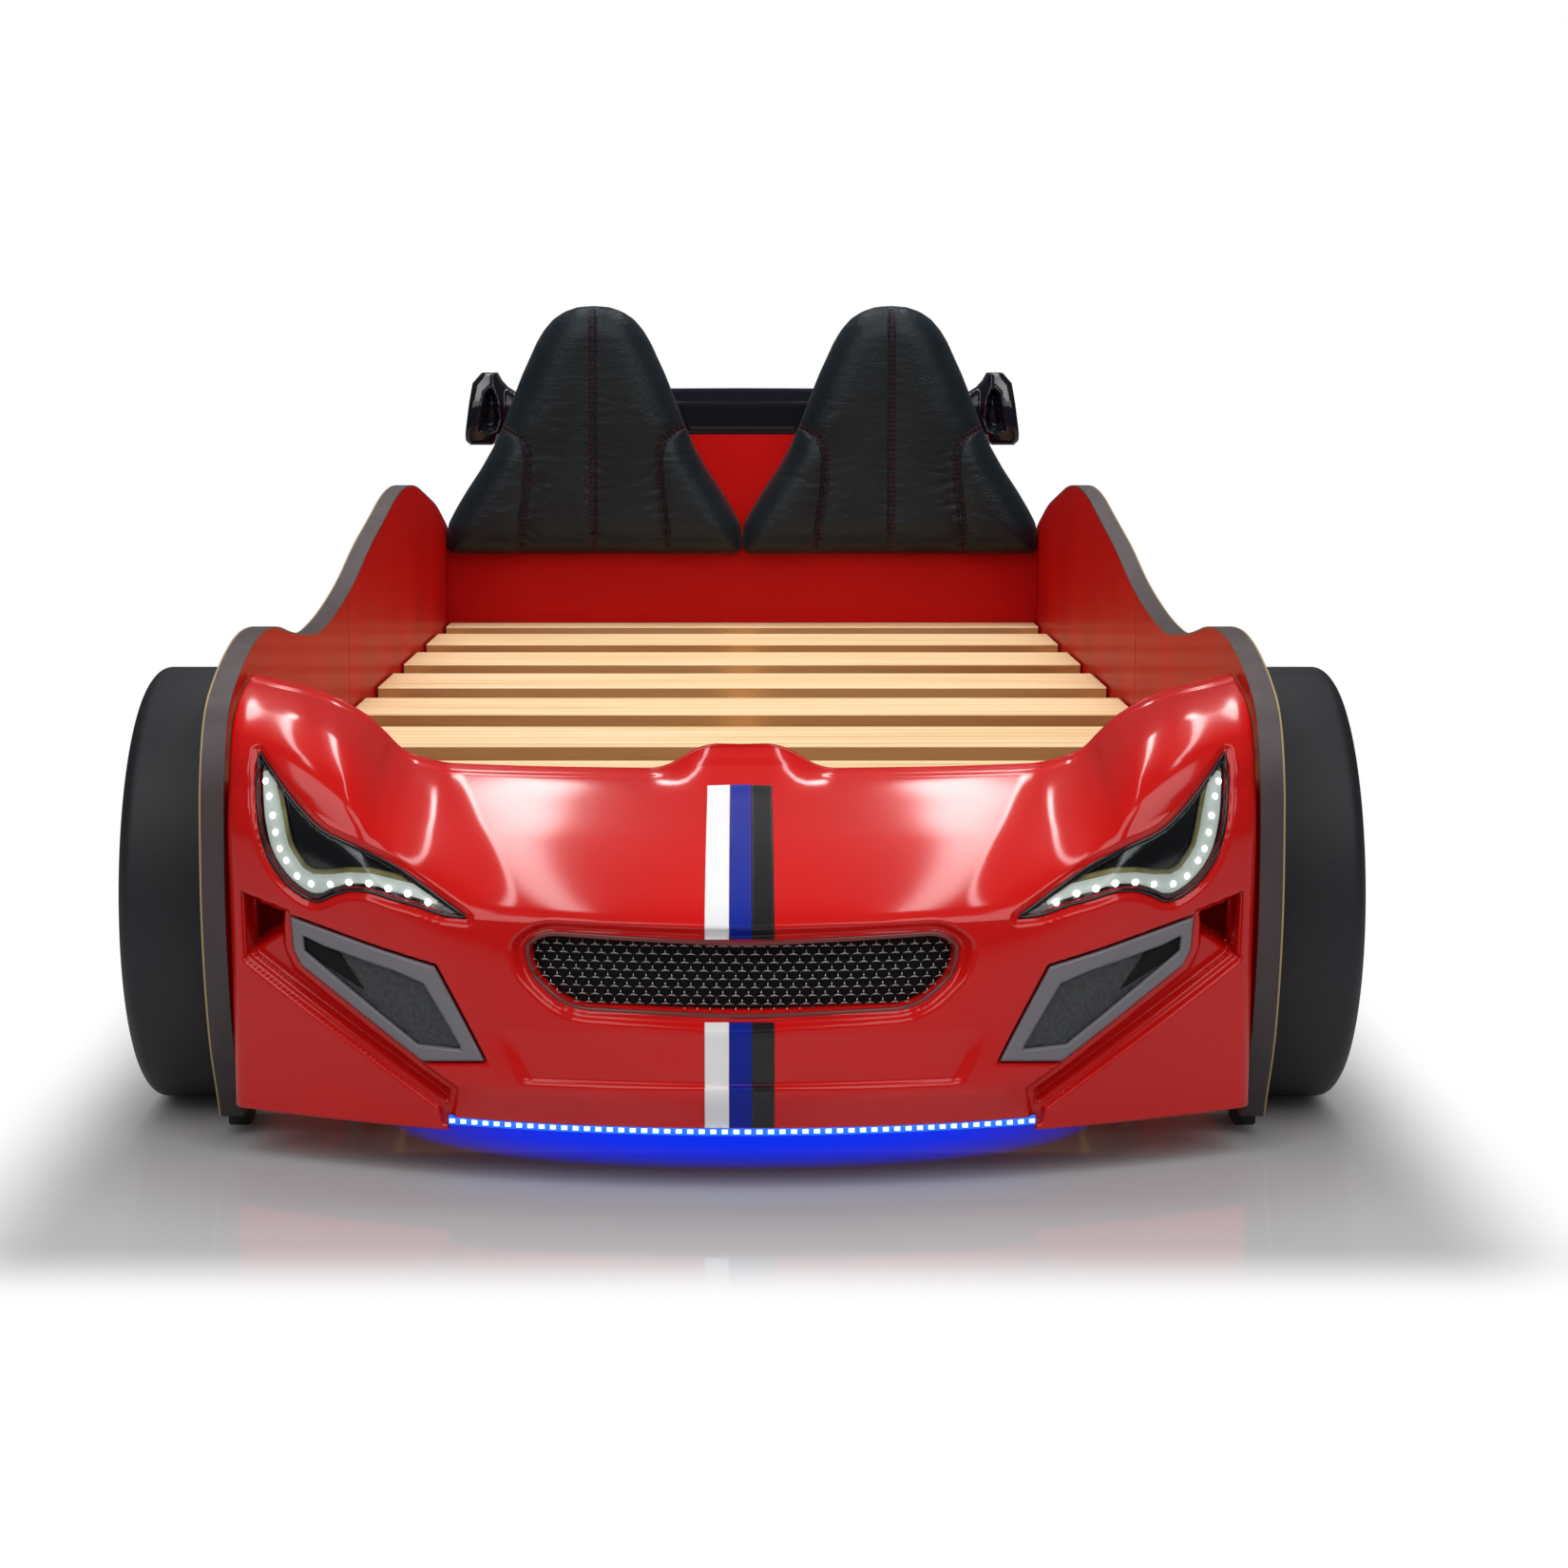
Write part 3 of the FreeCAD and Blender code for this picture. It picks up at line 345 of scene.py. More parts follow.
def lacquer(name, colour, rough, peel, coat=.85):
    """Gloss paint with a faint orange peel, dust specks and darker colour where it lies thin."""
    tree = material(name)
    vector = tree.mapped()
    cloud = tree.noise(vector, 3)
    speck = tree.ranged(tree.noise(vector, 900, 1), .85, 1.15)
    body = tree.sums("MULTIPLY", cloud, speck)
    tree.feed("Base Color", tree.ramp(body, (.25, shade(colour, .9)), (.75, shade(colour, 1.08))))
    tree.feed("Roughness", tree.ranged(cloud, rough * .8, rough * 1.2))
    put(tree.shader, Specular_IOR_Level=.05, Coat_Weight=coat, Coat_Roughness=.11)
    tree.bump(tree.noise(vector, 140, 2), peel, .5)
    return tree.owner


def glow(name, colour, strength, base=(.9, .9, .9)):
    """A lit surface with a fine grain."""
    tree = material(name)
    fine = tree.noise(tree.mapped(), 300)
    tree.feed("Base Color", tree.ramp(fine, (.2, shade(base, .9)), (.8, base)))
    tree.feed("Roughness", tree.ranged(fine, .25, .4))
    put(tree.shader, Emission_Color=(*colour, 1), Emission_Strength=strength)
    return tree.owner


def pine():
    """Planed pine with long grain and rings; its sides are painted darker than the planed tops, as painted shade."""
    tree = material("pine_planed")
    vector = tree.mapped((.9, 9, 16))
    warp = tree.noise(vector, 2.2, 4, .6)
    rings = tree.new("TexWave", bands_direction="Y", Scale=1.1, Distortion=7, Detail=3, Detail_Scale=.8)
    tree.join(vector, rings.inputs["Vector"])
    fibre = tree.noise(tree.mapped((6, 220, 220)), 3, 3, .7)
    grain = tree.sums("MULTIPLY_ADD", rings.outputs["Fac"], .25, tree.sums("MULTIPLY", warp, .75))
    colour = tree.ramp(grain, (.2, (.96, .76, .49)), (.5, (.92, .67, .37)), (.8, (.74, .46, .20)))
    planed = tree.tinted("MULTIPLY", .35, colour, tree.ramp(fibre, (.3, (.72, .66, .58)), (.7, (1, 1, 1))))
    # Faces that don't face up are painted darker and browner: painted shade on the slats' sides.
    upward = tree.split(tree.new("NewGeometry").outputs["Normal"])["Z"]
    painted_side_shade = tree.ramp(upward, (.3, (.62, .42, .24)), (.7, (1, 1, 1)))
    tree.feed("Base Color", tree.tinted("MULTIPLY", 1.0, planed, painted_side_shade))
    tree.feed("Roughness", tree.ranged(fibre, .42, .62))
    tree.bump(fibre, .0003, .6)
    return tree.owner


def edging():
    """Satin taupe edge band, painted darker low down as painted shade, with a thin gilt line along its outer corner."""
    tree = material("edging_taupe")
    vector = tree.mapped()
    axes = tree.split(vector)
    cloud = tree.noise(tree.mapped((1, 1, .25)), 60)
    # Lighter with height and darker near the floor: painted shade, with a little random cloud.
    tone = tree.sums("MULTIPLY_ADD", tree.ranged(axes["Z"], 0, 1), .8, tree.ranged(cloud, 0, .2))
    body = tree.ramp(tone, (.1, (.026, .017, .018)), (.4, (.070, .050, .053)), (.7, (.150, .122, .128)))
    corner = tree.sums("GREATER_THAN", tree.sums("ABSOLUTE", axes["X"]), GILT_X)
    tree.feed("Base Color", tree.tinted("MIX", corner, body, (.36, .27, .12, 1)))
    tree.feed("Roughness", tree.ranged(cloud, .34, .46))
    tree.bump(tree.noise(vector, 500, 2), .0001, .5)
    return tree.owner


def leatherette():
    """Black leatherette: pebbled grain from cells, with creases and worn, shinier high spots."""
    tree = material("leatherette_black")
    vector = tree.mapped()
    cells = tree.new("TexVoronoi", feature="DISTANCE_TO_EDGE", Scale=330)
    tree.join(vector, cells.inputs["Vector"])
    pebble = tree.ranged(cells.outputs["Distance"], 0, 2.2)
    crease = tree.noise(tree.mapped((13, 13, 62)), 1.6, 5, .6)
    cloud = tree.noise(vector, 6, 4)
    tree.feed("Base Color", tree.ramp(cloud, (.3, (.0042, .0082, .0118)), (.7, (.0095, .0158, .0212))))
    tree.feed("Roughness", tree.ranged(cloud, .28, .42))
    put(tree.shader, Specular_IOR_Level=.32, Sheen_Weight=.05, Sheen_Roughness=.4)
    tree.bump(crease, .003, .42, tree.bump(pebble, .00035, .55))
    return tree.owner


def clear():
    """Clear plastic: reflects at its surface and lets light through to the lamp."""
    tree = material("lens_clear")
    tree.nodes.clear()
    through = tree.new("BsdfTransparent")
    haze = tree.ramp(tree.noise(tree.mapped(), 30), (.3, (.80, .82, .84)), (.7, (.88, .90, .92)))
    tree.join(haze, through.inputs["Color"])
    gloss = tree.new("BsdfGlossy", Roughness=.1)
    edge = tree.new("Fresnel", IOR=1.45)
    surface = tree.blended(edge.outputs[0], through.outputs[0], gloss.outputs[0])
    tree.join(surface, tree.new("OutputMaterial").inputs["Surface"])
    return tree.owner


MATS = {
    "bumper": lacquer("bumper_red", (.585, .0055, .0045), .30, .00006),
    "board": lacquer("board_red", (.50, .0055, .0050), .45, .00009, coat=.06),
    "pine": pine(),
    "edging": edging(),
    "tyre": plastic("tyre_charcoal", (.0110, .0125, .0160), .55, vary=.12, grain=620, depth=.0005),
    "rim": plastic("rim_silver", (.34, .35, .37), .3, vary=.05, grain=500, depth=.0001, coat=.6, metal=.75),
    "hub_cap": plastic("hub_black", (.012, .012, .013), .25, vary=.1, grain=500, depth=.0001, coat=.6),
    "steel": plastic("steel_zinc", (.52, .53, .55), .36, vary=.08, grain=260, metal=1.0, cloudy=14),
    "electrics": plastic("electrics_black", (.018, .018, .02), .5, vary=.1, grain=520, depth=.0003),
    "glide": plastic("glide_black", (.014, .014, .014), .6, vary=.1, grain=520, depth=.0003),
    "grille": plastic("grille_black", (.42, .42, .43), .2, vary=.2, grain=420, depth=.0001, metal=1.0),
    # Near-black: painted shade behind the grille, and the fog lamps' black wedges.
    "void": plastic("painted_shade_and_wedge_black", (.002, .002, .0022), .9, vary=.3, grain=300, depth=.0001),
    # A darker copy of the bumper's red: painted shade on the grille's bead.
    "bead": plastic("bead_red_painted_shade", (.17, .022, .022), .3, vary=.1, grain=300, depth=.0001, coat=.3),
    "lamp_housing": plastic("lamp_black", (.004, .0045, .006), .2, vary=.25, grain=1200, depth=.00002, coat=.6,
                            cloudy=18),
    "lamp_band": glow("lamp_band_white", (.80, .87, .76), .52, (.56, .60, .54)),
    "lamp_border": plastic("lamp_border_olive", (.50, .42, .15), .3, vary=.3, grain=300, coat=.8, cloudy=60),
    "lamp_lens": clear(),
    "led": glow("led_white", (1, 1, .96), 7.0),
    "strip_led": glow("strip_led_blue", (.22, .62, 1), 3.2),
    "strip_channel": glow("strip_channel_blue", (.01, .12, 1), 1.1, (.02, .06, .4)),
    "fog_bezel": plastic("fog_bezel_grey", (.175, .165, .185), .36, grain=700, coat=.2),
    "fog_insert": plastic("fog_insert_dark", (.048, .052, .056), .62, vary=.35, grain=330, depth=.0022, cloudy=240),
    "leatherette": leatherette(),
    "wing": lacquer("wing_black", (.0052, .0054, .0105), .2, .00005),
    "thread": plastic("thread_red", (.22, .012, .016), .7, vary=.2, grain=900, depth=.0003),
    "white": plastic("stripe_white", (.86, .86, .86), .3, vary=.03, grain=500, depth=.00004, coat=.5, specular=.2),
    "blue": plastic("stripe_blue", (.001, .014, .28), .35, vary=.05, grain=500, depth=.00004, coat=.1, specular=.2),
    "black": plastic("stripe_black", (.012, .012, .013), .3, vary=.1, grain=500, depth=.00004, coat=.5, specular=.2),
    "seam": plastic("seam_dark", (.006, .004, .004), .8, vary=.2, grain=500, depth=.0001),
}


# ---------------------------------------------------------------- meshes
def make(name, verts, faces, mat, slot=None, replaces=()):
    """One piece from millimetre points, cleaned; it rides on the bed's only body."""
    mesh = bpy.data.meshes.new(name)
    faces = faces.tolist() if isinstance(faces, np.ndarray) else faces
    mesh.from_pydata((np.asarray(verts, float) * MM).tolist(), [], faces)
    bm = bmesh.new()
    bm.from_mesh(mesh)
    bmesh.ops.delete(bm, geom=[v for v in bm.verts if not v.link_faces], context="VERTS")
    bmesh.ops.recalc_face_normals(bm, faces=bm.faces)
    bm.to_mesh(mesh)
    bm.free()
    for p in mesh.polygons:
        p.use_smooth = True
    obj = bpy.data.objects.new(name, mesh)
    bpy.context.scene.collection.objects.link(obj)
    mesh.materials.append(MATS[mat])
    if replaces:
        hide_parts(*replaces)
    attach(obj, "root")
    return obj


def slab(front, back, keep):
    """Closed mesh between two grids of points, over the kept cells."""
    rows, cols = keep.shape
    index = np.arange((rows + 1) * (cols + 1)).reshape(rows + 1, cols + 1)
    n = index.size
    a, b, c, d = index[:-1, :-1], index[:-1, 1:], index[1:, 1:], index[1:, :-1]
    faces = [np.stack([a, b, c, d], -1)[keep], n + np.stack([d, c, b, a], -1)[keep]]
    padded = np.pad(keep, 1)
    for p, q, near in ((a, b, padded[:-2, 1:-1]), (b, c, padded[1:-1, 2:]), (c, d, padded[2:, 1:-1]),
                       (d, a, padded[1:-1, :-2])):
        edge = keep & ~near
        faces.append(np.stack([q, p, n + p, n + q], -1)[edge])
    return np.concatenate((front.reshape(-1, 3), back.reshape(-1, 3))), np.concatenate(faces)


def patch(region, bounds, step, near, far, surface=skin_y):
    """A slab over the points where region(x, z) is negative, between two depths behind a surface."""
    x0, x1, z0, z1 = bounds
    xs = np.linspace(x0, x1, max(2, int((x1 - x0) / step)) + 1)
    zs = np.linspace(z0, z1, max(2, int((z1 - z0) / step)) + 1)
    x, z = np.meshgrid(xs, zs)
    keep = region((x[:-1, :-1] + x[1:, 1:]) / 2, (z[:-1, :-1] + z[1:, 1:]) / 2) < 0
    padded = np.pad(keep, 1)
    corners = np.stack([padded[:-1, :-1], padded[:-1, 1:], padded[1:, :-1], padded[1:, 1:]])
    edge = corners.any(0) & ~corners.all(0)
    for _ in range(4):
        s = region(x, z)
        gx = (region(x + .1, z) - s) / .1
        gz = (region(x, z + .1) - s) / .1
        size = np.maximum(gx ** 2 + gz ** 2, .2)
        x = np.where(edge, x - s * gx / size, x)
        z = np.where(edge, z - s * gz / size, z)
    y = surface(x, z)
    front = np.stack([x, y + near(x, z), z], -1)
    back = np.stack([x, y + far(x, z), z], -1)
    return slab(front, back, keep)


def merge(parts):
    verts, faces, base = [], [], 0
    for v, f in parts:
        verts.append(np.asarray(v, float))
        faces += (np.asarray(f) + base).tolist() if isinstance(f, np.ndarray) else [[i + base for i in q] for q in f]
        base += len(v)
    return np.concatenate(verts), faces


def mirrored(part):
    v, f = part
    return np.asarray(v) * [-1, 1, 1], f


def both(part):
    return merge([part, mirrored(part)])


def constant(value):
    return lambda x, z: np.full(np.shape(x), float(value))


def lofted(rings, size, closed=False):
    """Faces that join rings of points, with both ends capped unless the rings close on themselves."""
    faces = [[i * size + k, i * size + (k + 1) % size, (i + 1) % rings * size + (k + 1) % size,
              (i + 1) % rings * size + k] for i in range(rings if closed else rings - 1) for k in range(size)]
    return faces if closed else faces + [list(range(size))[::-1], [(rings - 1) * size + k for k in range(size)]]


def tube(points, radius, sides=8, closed=False):
    """A round bar along points."""
    p = np.asarray(points, float)
    count = len(p)
    verts = []
    for i in range(count):
        before, after = (p[i - 1], p[(i + 1) % count]) if closed else (p[max(i - 1, 0)], p[min(i + 1, count - 1)])
        t = (after - before) / np.linalg.norm(after - before)
        side = np.cross(t, [0, 0, 1] if abs(t[2]) < .9 else [0, 1, 0])
        side /= np.linalg.norm(side)
        up = np.cross(side, t)
        for k in range(sides):
            a = 2 * math.pi * k / sides
            verts.append(p[i] + radius * (math.cos(a) * side + math.sin(a) * up))
    return np.array(verts), lofted(count, sides, closed)


# ---------------------------------------------------------------- bumper
def bumper():
    """The moulded front as one closed shell, with its pockets, holes and rolled rear lip."""
    columns, rows = 446, 286
    inner = BUMPER_X - SIDE_ROUND
    xs = np.concatenate((np.linspace(-BUMPER_X, -inner, 9)[:-1], np.linspace(-inner, inner, columns),
                         np.linspace(inner, BUMPER_X, 9)[1:]))
    # Rows at even steps along the steeper of the two sections, and one of them on the lip's edge.
    fine = np.linspace(0, 1, 4000)
    speed = np.zeros_like(fine)
    for table, height in ((HOOD, TOP_EDGE[0][1] - BOTTOM), (FENDER, TOP_EDGE[-1][1] - BOTTOM)):
        speed = np.maximum(speed, np.hypot(np.gradient(monotone(fine, table), fine), height))
    length = np.concatenate(([0], np.cumsum(speed[1:] * np.diff(fine))))
    shares = np.interp(np.linspace(0, length[-1], rows), length, fine)
    lip = (LIP_BOTTOM - BOTTOM) / (TOP_EDGE[0][1] - BOTTOM)
    shares[np.argmin(np.abs(shares - lip))] = lip
    share, x = np.meshgrid(shares, xs, indexing="ij")
    z = BOTTOM + share * (top_edge(x) - BOTTOM)
    front = np.stack([x, skin_y(x, z) + relief(x, z), z + hump(x, z)], -1)
    base = np.stack([x, skin_y(x, z), z], -1)
    across, along = np.gradient(base, axis=1), np.gradient(base, axis=0)
    normal = np.cross(across, along)
    normal /= np.linalg.norm(normal, axis=-1, keepdims=True)
    normal *= np.sign(normal[..., 1].mean())
    back = front + normal * SKIN
    keep = np.ones((len(shares) - 1, len(xs) - 1), bool)
    middle_x, middle_z = (x[:-1, :-1] + x[1:, 1:]) / 2, (z[:-1, :-1] + z[1:, 1:]) / 2
    keep &= ~((np.abs(middle_x) < LIP_HALF) & (middle_z < LIP_BOTTOM))
    keep &= polygon_distance(GRILLE_INNER, middle_x, middle_z) > -5
    keep &= polygon_distance(SLOT, np.abs(middle_x), middle_z) > -6
    parts = [slab(front, back, keep)]
    # The rear edge's turned-down flange and the sides' returns.
    rim = front[-1][np.abs(xs) <= BUMPER_X - 5]
    profile = [(0, 0), (2.5, .8), (4, -2), (4, -14), (1, -14), (0, -6)]
    strips = [np.stack([rim + [0, a - 3, b] for a, b in profile], 1)]
    for side, inward in ((0, 3), (-1, -3)):
        line = front[:, side]
        strips.append(np.stack([line, line + [0, 14, 0], line + [inward, 14, 0], line + [inward, 2, 0]], 1))
    for rings in strips:
        rings[..., 1] = np.minimum(rings[..., 1], NOSE_Y + RUN)
        parts.append((rings.reshape(-1, 3), lofted(*rings.shape[:2])))
    v, f = merge(parts)
    return make("bumper_shell", v, f, "bumper", "bumper", ["bumper"])


def stripes():
    """Three vinyl stripes above and below the grille, a fraction of a millimetre proud of the skin."""
    for name, x0, x1 in (("white", -32, -11.2), ("blue", -11, 8.3), ("black", 8.5, 27.5)):
        pieces = []
        for z0, z1 in ((221, STRIPE_TOP), (LIP_BOTTOM + .5, 150)):
            region = lambda x, z: np.maximum(np.maximum(x0 - x, x - x1), np.maximum(z0 - z, z - z1))
            near = lambda x, z: relief(x, z) - .6
            far = lambda x, z: relief(x, z) + .3
            v, f = patch(region, (x0, x1, z0, z1), 1.3, near, far)
            v[:, 2] += hump(v[:, 0], v[:, 2])
            pieces.append((v, f))
        v, f = merge(pieces)
        make("stripe_" + name, v, f, name)


# ---------------------------------------------------------------- lamps
def lamp_region(inset):
    """The lamp's outline, drawn in."""
    return lambda x, z: polygon_distance(LAMP, x, z) + inset


def domed(region, base, rise, reach):
    """Depth of a face that rises in a soft curve from its edge."""
    return lambda x, z: base - rise * np.sqrt(np.clip(1 - (1 - np.clip(-region(x, z) / reach, 0, 1)) ** 2, 0, 1))


def headlights():
    """Pans, lit bands with an olive border, diodes, a black gasket round each lamp, and clear covers."""
    bounds = (234, 432, 231, 371)
    inside = lamp_region(-.3)
    make("headlight_housings_gloss", *both(patch(inside, bounds, 2.5, constant(15), constant(16.5))),
         "lamp_housing", "lamp_housing", ["headlight_housings"])
    band = lambda x, z: np.maximum(lamp_region(4.8)(x, z), line_distance(LED_LINE, x, z) - 8.2)
    make("headlight_bands_lit", *both(patch(band, bounds, 1.6, domed(band, 10.5, 2.5, 5), constant(14.8))),
         "lamp_band", "lamp_band", ["headlight_bands"])
    border = lambda x, z: np.maximum(lamp_region(4.8)(x, z), np.abs(line_distance(LED_LINE, x, z) - 10.5) - 2.2)
    make("headlight_border", *both(patch(border, bounds, 1.4, constant(11), constant(14.8))),
         "lamp_border", "lamp_band")
    chips = []
    dome = [(3.0, 0), (2.8, -1.2), (1.9, -2.2), (.6, -2.6)]
    for x, z in LED_LINE:
        y = float(skin_y(x, z)) + 9
        v = [(x + r * math.cos(a), y + dy, z + r * math.sin(a)) for r, dy in dome for a in np.arange(10) * math.pi / 5]
        chips.append((np.array(v), lofted(4, 10)))
    make("headlight_leds_lit", *both(merge(chips)), "led", "led", ["headlight_leds"])
    outline = np.array(LAMP)
    gasket = np.stack([outline[:, 0], skin_y(outline[:, 0], outline[:, 1]) + 4.6, outline[:, 1]], -1)
    make("headlight_gaskets", *both(tube(gasket, 1.5, 8, True)), "lamp_housing", "lamp_housing")
    lens = lamp_region(1.0)
    make("headlight_lenses_clear", *both(patch(lens, bounds, 1.8, constant(4.8), constant(6.0))),
         "lamp_lens", "lamp_lens", ["headlight_lenses"])


def fog_lamps():
    """Bevelled frames, granular inserts and the dark wedge in each insert's upper corner."""
    bounds = (220, 399, 104, 229)
    bezel = lambda x, z: np.maximum(polygon_distance(FOG_OUTER, x, z) + 1, -polygon_distance(FOG_INNER, x, z))
    near = lambda x, z: -1.2 + 3 * np.clip(1 + bezel(x, z) / 2.2, 0, 1) ** 2
    make("fog_bezels_bevelled", *both(patch(bezel, bounds, 1.5, near, constant(6))), "fog_bezel", "fog_bezel",
         ["fog_bezels"])
    insert = lambda x, z: polygon_distance(FOG_INNER, x, z) - 1
    make("fog_inserts_granular", *both(patch(insert, bounds, 2.5, constant(4.5), constant(9))), "fog_insert",
         "fog_insert", ["fog_inserts"])
    wedge = [(386, 211), (367, 203), (352, 198), (345, 187), (330, 166), (384, 196)]
    region = lambda x, z: np.maximum(polygon_distance(wedge, x, z), insert(x, z) + 1.5)
    make("fog_wedge", *both(patch(region, bounds, 2.0, constant(3.0), constant(4.7))), "void", "fog_insert")


# ---------------------------------------------------------------- grille and light strip
def grille():
    """Honeycomb of round bars, every second node pressed forward, behind the bumper's opening."""
    width, height = 11.0, 7.2
    rows, columns = 12, 38
    middle_z = 189
    low, high = height * .18, height * .5
    bars = []

    def place(x, z, lift):
        return x, NOSE_Y + 24 + bow(x) * .9 + lift, z

    def inside(*points):
        return any(polygon_distance(GRILLE_INNER, np.array(x), np.array(z)) < 4 for x, z in points)

    for row in range(-rows // 2, rows // 2 + 1):
        z = middle_z + row * height
        for column in range(-columns // 2, columns // 2 + 1):
            x = (column + .5 * (row % 2)) * width
            left, top, right = (x - width / 2, z + low), (x, z + high), (x + width / 2, z + low)
            below = (x + width / 2, z - high)
            bend = z + height * .42
            if inside(left, top):
                bars.append(tube([place(*left, 1.6), place((left[0] + x) / 2, bend, -1.2), place(*top, -2.4)], .7, 6))
            if inside(right, top):
                bars.append(tube([place(*top, -2.2), place((right[0] + x) / 2, bend, -1.2), place(*right, 1.6)], .7, 6))
            if inside(right, below):
                bars.append(tube([place(*right, 1.6), place(*below, -2.4)], .8, 6))
    make("grille_mesh", *merge(bars), "grille", "grille", ["grille"])
    # A near-black sheet behind the mesh: painted shade in place of the dark hollow behind the opening.
    back = lambda x, z: polygon_distance(GRILLE_INNER, x, z) - 7
    bowed = lambda x, z: NOSE_Y + bow(x) * .9
    make("grille_backing", *patch(back, (-190, 190, 150, 228), 4.0, constant(28), constant(29.5), bowed), "void",
         "grille")
    # The bead round the opening, in the darker red: painted shade on the bumper's own rim.
    ring = resample(GRILLE_INNER + GRILLE_INNER[:1], 5)
    mid = ring.mean(0)
    ring = mid + (ring - mid) * [1.014, 1.055]
    y = skin_y(ring[:, 0], ring[:, 1]) + 9.2
    make("grille_bead", *tube(np.stack([ring[:, 0], y, ring[:, 1]], -1), 2.4, 10, True), "bead", "bumper")


def strip():
    """Light strip under the lip: a channel and its row of chips. Its glow on the floor is painted light, in
    floor_material().
    """
    xs = np.linspace(-256, 256, 65)
    section = [(12, 57), (12, 50.5), (24, 50.5), (24, 57)]
    rings = np.array([[(x, NOSE_Y + d + bow(x), z) for d, z in section] for x in xs])
    body = make("light_strip_body", rings.reshape(-1, 3), lofted(*rings.shape[:2]), "strip_channel", "strip_channel",
                ["light_strip_channel"])
    chips = []
    count, pitch = 52, 9.9
    for k in range(count):
        x = (k - (count - 1) / 2) * pitch
        y = NOSE_Y + 11.6 + bow(x)
        v = [(x + sx * a, y + dy, 54 + sz * b) for dy, a, b in ((.6, 2.6, 1.9), (-.8, 2.3, 1.6), (-1.3, 1.2, .8))
             for sx, sz in ((-1, -1), (1, -1), (1, 1), (-1, 1))]
        chips.append((np.array(v), lofted(3, 4)))
    row = make("light_strip_chips", *merge(chips), "strip_led", "led", ["light_strip_leds"])
    for obj in (body, row):
        obj.visible_glossy = False


# ---------------------------------------------------------------- seats
HEAD_Y = 1063.5
SEAT_X = 230.0
SEAT_HALF = [(222, 415), (229, 421), (230, 440), (228, 462), (215, 487), (198, 515), (176, 548), (156, 583),
             (141, 618), (130, 647), (119, 675), (111, 695), (100, 719), (89, 743), (77, 763), (62, 780), (45, 791),
             (25, 798), (0, 800)]
SEAT_OUTLINE = SEAT_HALF + [(-a, b) for a, b in SEAT_HALF[-2::-1]]
BOLSTER = [(142, 613), (128, 606), (113, 596), (104, 583), (100, 567), (101, 540), (103, 515), (107, 488),
           (110, 465), (112, 440), (113, 414)]
CENTRE = [(0, 792), (0, 414)]


def seam_distance(x, z):
    """Distance to the nearest of a seat back's seams."""
    return np.minimum(line_distance(BOLSTER, np.abs(x), z), line_distance(CENTRE, x, z))


def seat_depth(x, z):
    """Thickness of a seat back: a crown that falls to its edge, fuller bolsters and seams drawn in."""
    inside = -polygon_distance(SEAT_OUTLINE, x, z)
    crown = 47 * np.sqrt(np.clip(1 - (1 - np.clip(inside / 52, 0, 1)) ** 2, 0, 1)) + 6
    seam = line_distance(BOLSTER, np.abs(x), z)
    middle = line_distance(CENTRE, x, z)
    outside = smooth(np.abs(x) - np.interp(z, [p[1] for p in BOLSTER][::-1], [p[0] for p in BOLSTER][::-1]), 0, 6)
    below = smooth(z, 625, 560)
    bolster = 7 * outside * below
    grooves = 9 * np.exp(-seam / 7.5) * smooth(z, 640, 600) + 5.5 * np.exp(-middle / 6.5)
    return crown + bolster - grooves * smooth(inside, 0, 22)


def puffed(obj, cap, pins, frames=20):
    """Blows a cushion up a little with Cloth and keeps every point within cap of its place."""
    mesh = obj.data
    start = np.array([v.co for v in mesh.vertices])
    group = obj.vertex_groups.new(name="pin")
    for i, w in enumerate(pins(start / MM)):
        if w > .01:
            group.add([i], float(w), "REPLACE")
    cloth = obj.modifiers.new("cloth", "CLOTH")
    s = cloth.settings
    s.use_pressure = True
    s.uniform_pressure_force = 4
    s.effector_weights.gravity = 0
    s.vertex_group_mass = "pin"
    s.tension_stiffness = 12
    s.compression_stiffness = 12
    s.bending_stiffness = .35
    s.quality = 5
    cloth.point_cache.frame_start, cloth.point_cache.frame_end = 1, frames
    scene = bpy.context.scene
    for k in range(1, frames + 1):
        scene.frame_set(k)
    dg = bpy.context.evaluated_depsgraph_get()
    moved = np.array([v.co for v in obj.evaluated_get(dg).to_mesh().vertices])
    obj.modifiers.remove(cloth)
    obj.vertex_groups.remove(group)
    scene.frame_set(1)
    shift = moved - start
    size = np.linalg.norm(shift, axis=1, keepdims=True)
    shift *= np.minimum(1, cap * MM / np.maximum(size, 1e-9))
    mesh.vertices.foreach_set("co", (start + shift).ravel())
    mesh.update()


def seat_wrinkles(p, centre, seed):
    """Creases that run from the seams and gather low on the cushion, in millimetres of depth."""
    x, z = p[:, 0] - centre, p[:, 2]
    rng = np.random.default_rng(seed)
    total = np.zeros(len(p))
    low = smooth(z, 640, 470)
    seam = seam_distance(x, z)
    for _ in range(120):
        cx = rng.choice([-113, -104, 0, 0, 104, 113]) + rng.normal(0, 26)
        cz = 420 + 340 * rng.random() ** 1.7
        angle = rng.normal(0, .42)
        length, width = 10 + 26 * rng.random(), 2.0 + 2.2 * rng.random()
        along = (x - cx) * math.cos(angle) + (z - cz) * math.sin(angle)
        across = -(x - cx) * math.sin(angle) + (z - cz) * math.cos(angle) + .006 * along ** 2 * rng.normal()
        fold = (.5 + rng.random()) * np.exp(-(along / length) ** 2 - (across / width) ** 2)
        total += fold * (1 if rng.random() < .7 else -.6)
    waves = np.sin(z / 2.6 + 2.2 * np.sin(x / 31) + 1.5 * np.sin(z / 23) + seed) * np.exp(-seam / 13)
    return (.6 * total + .8 * waves) * (.35 + .65 * low)


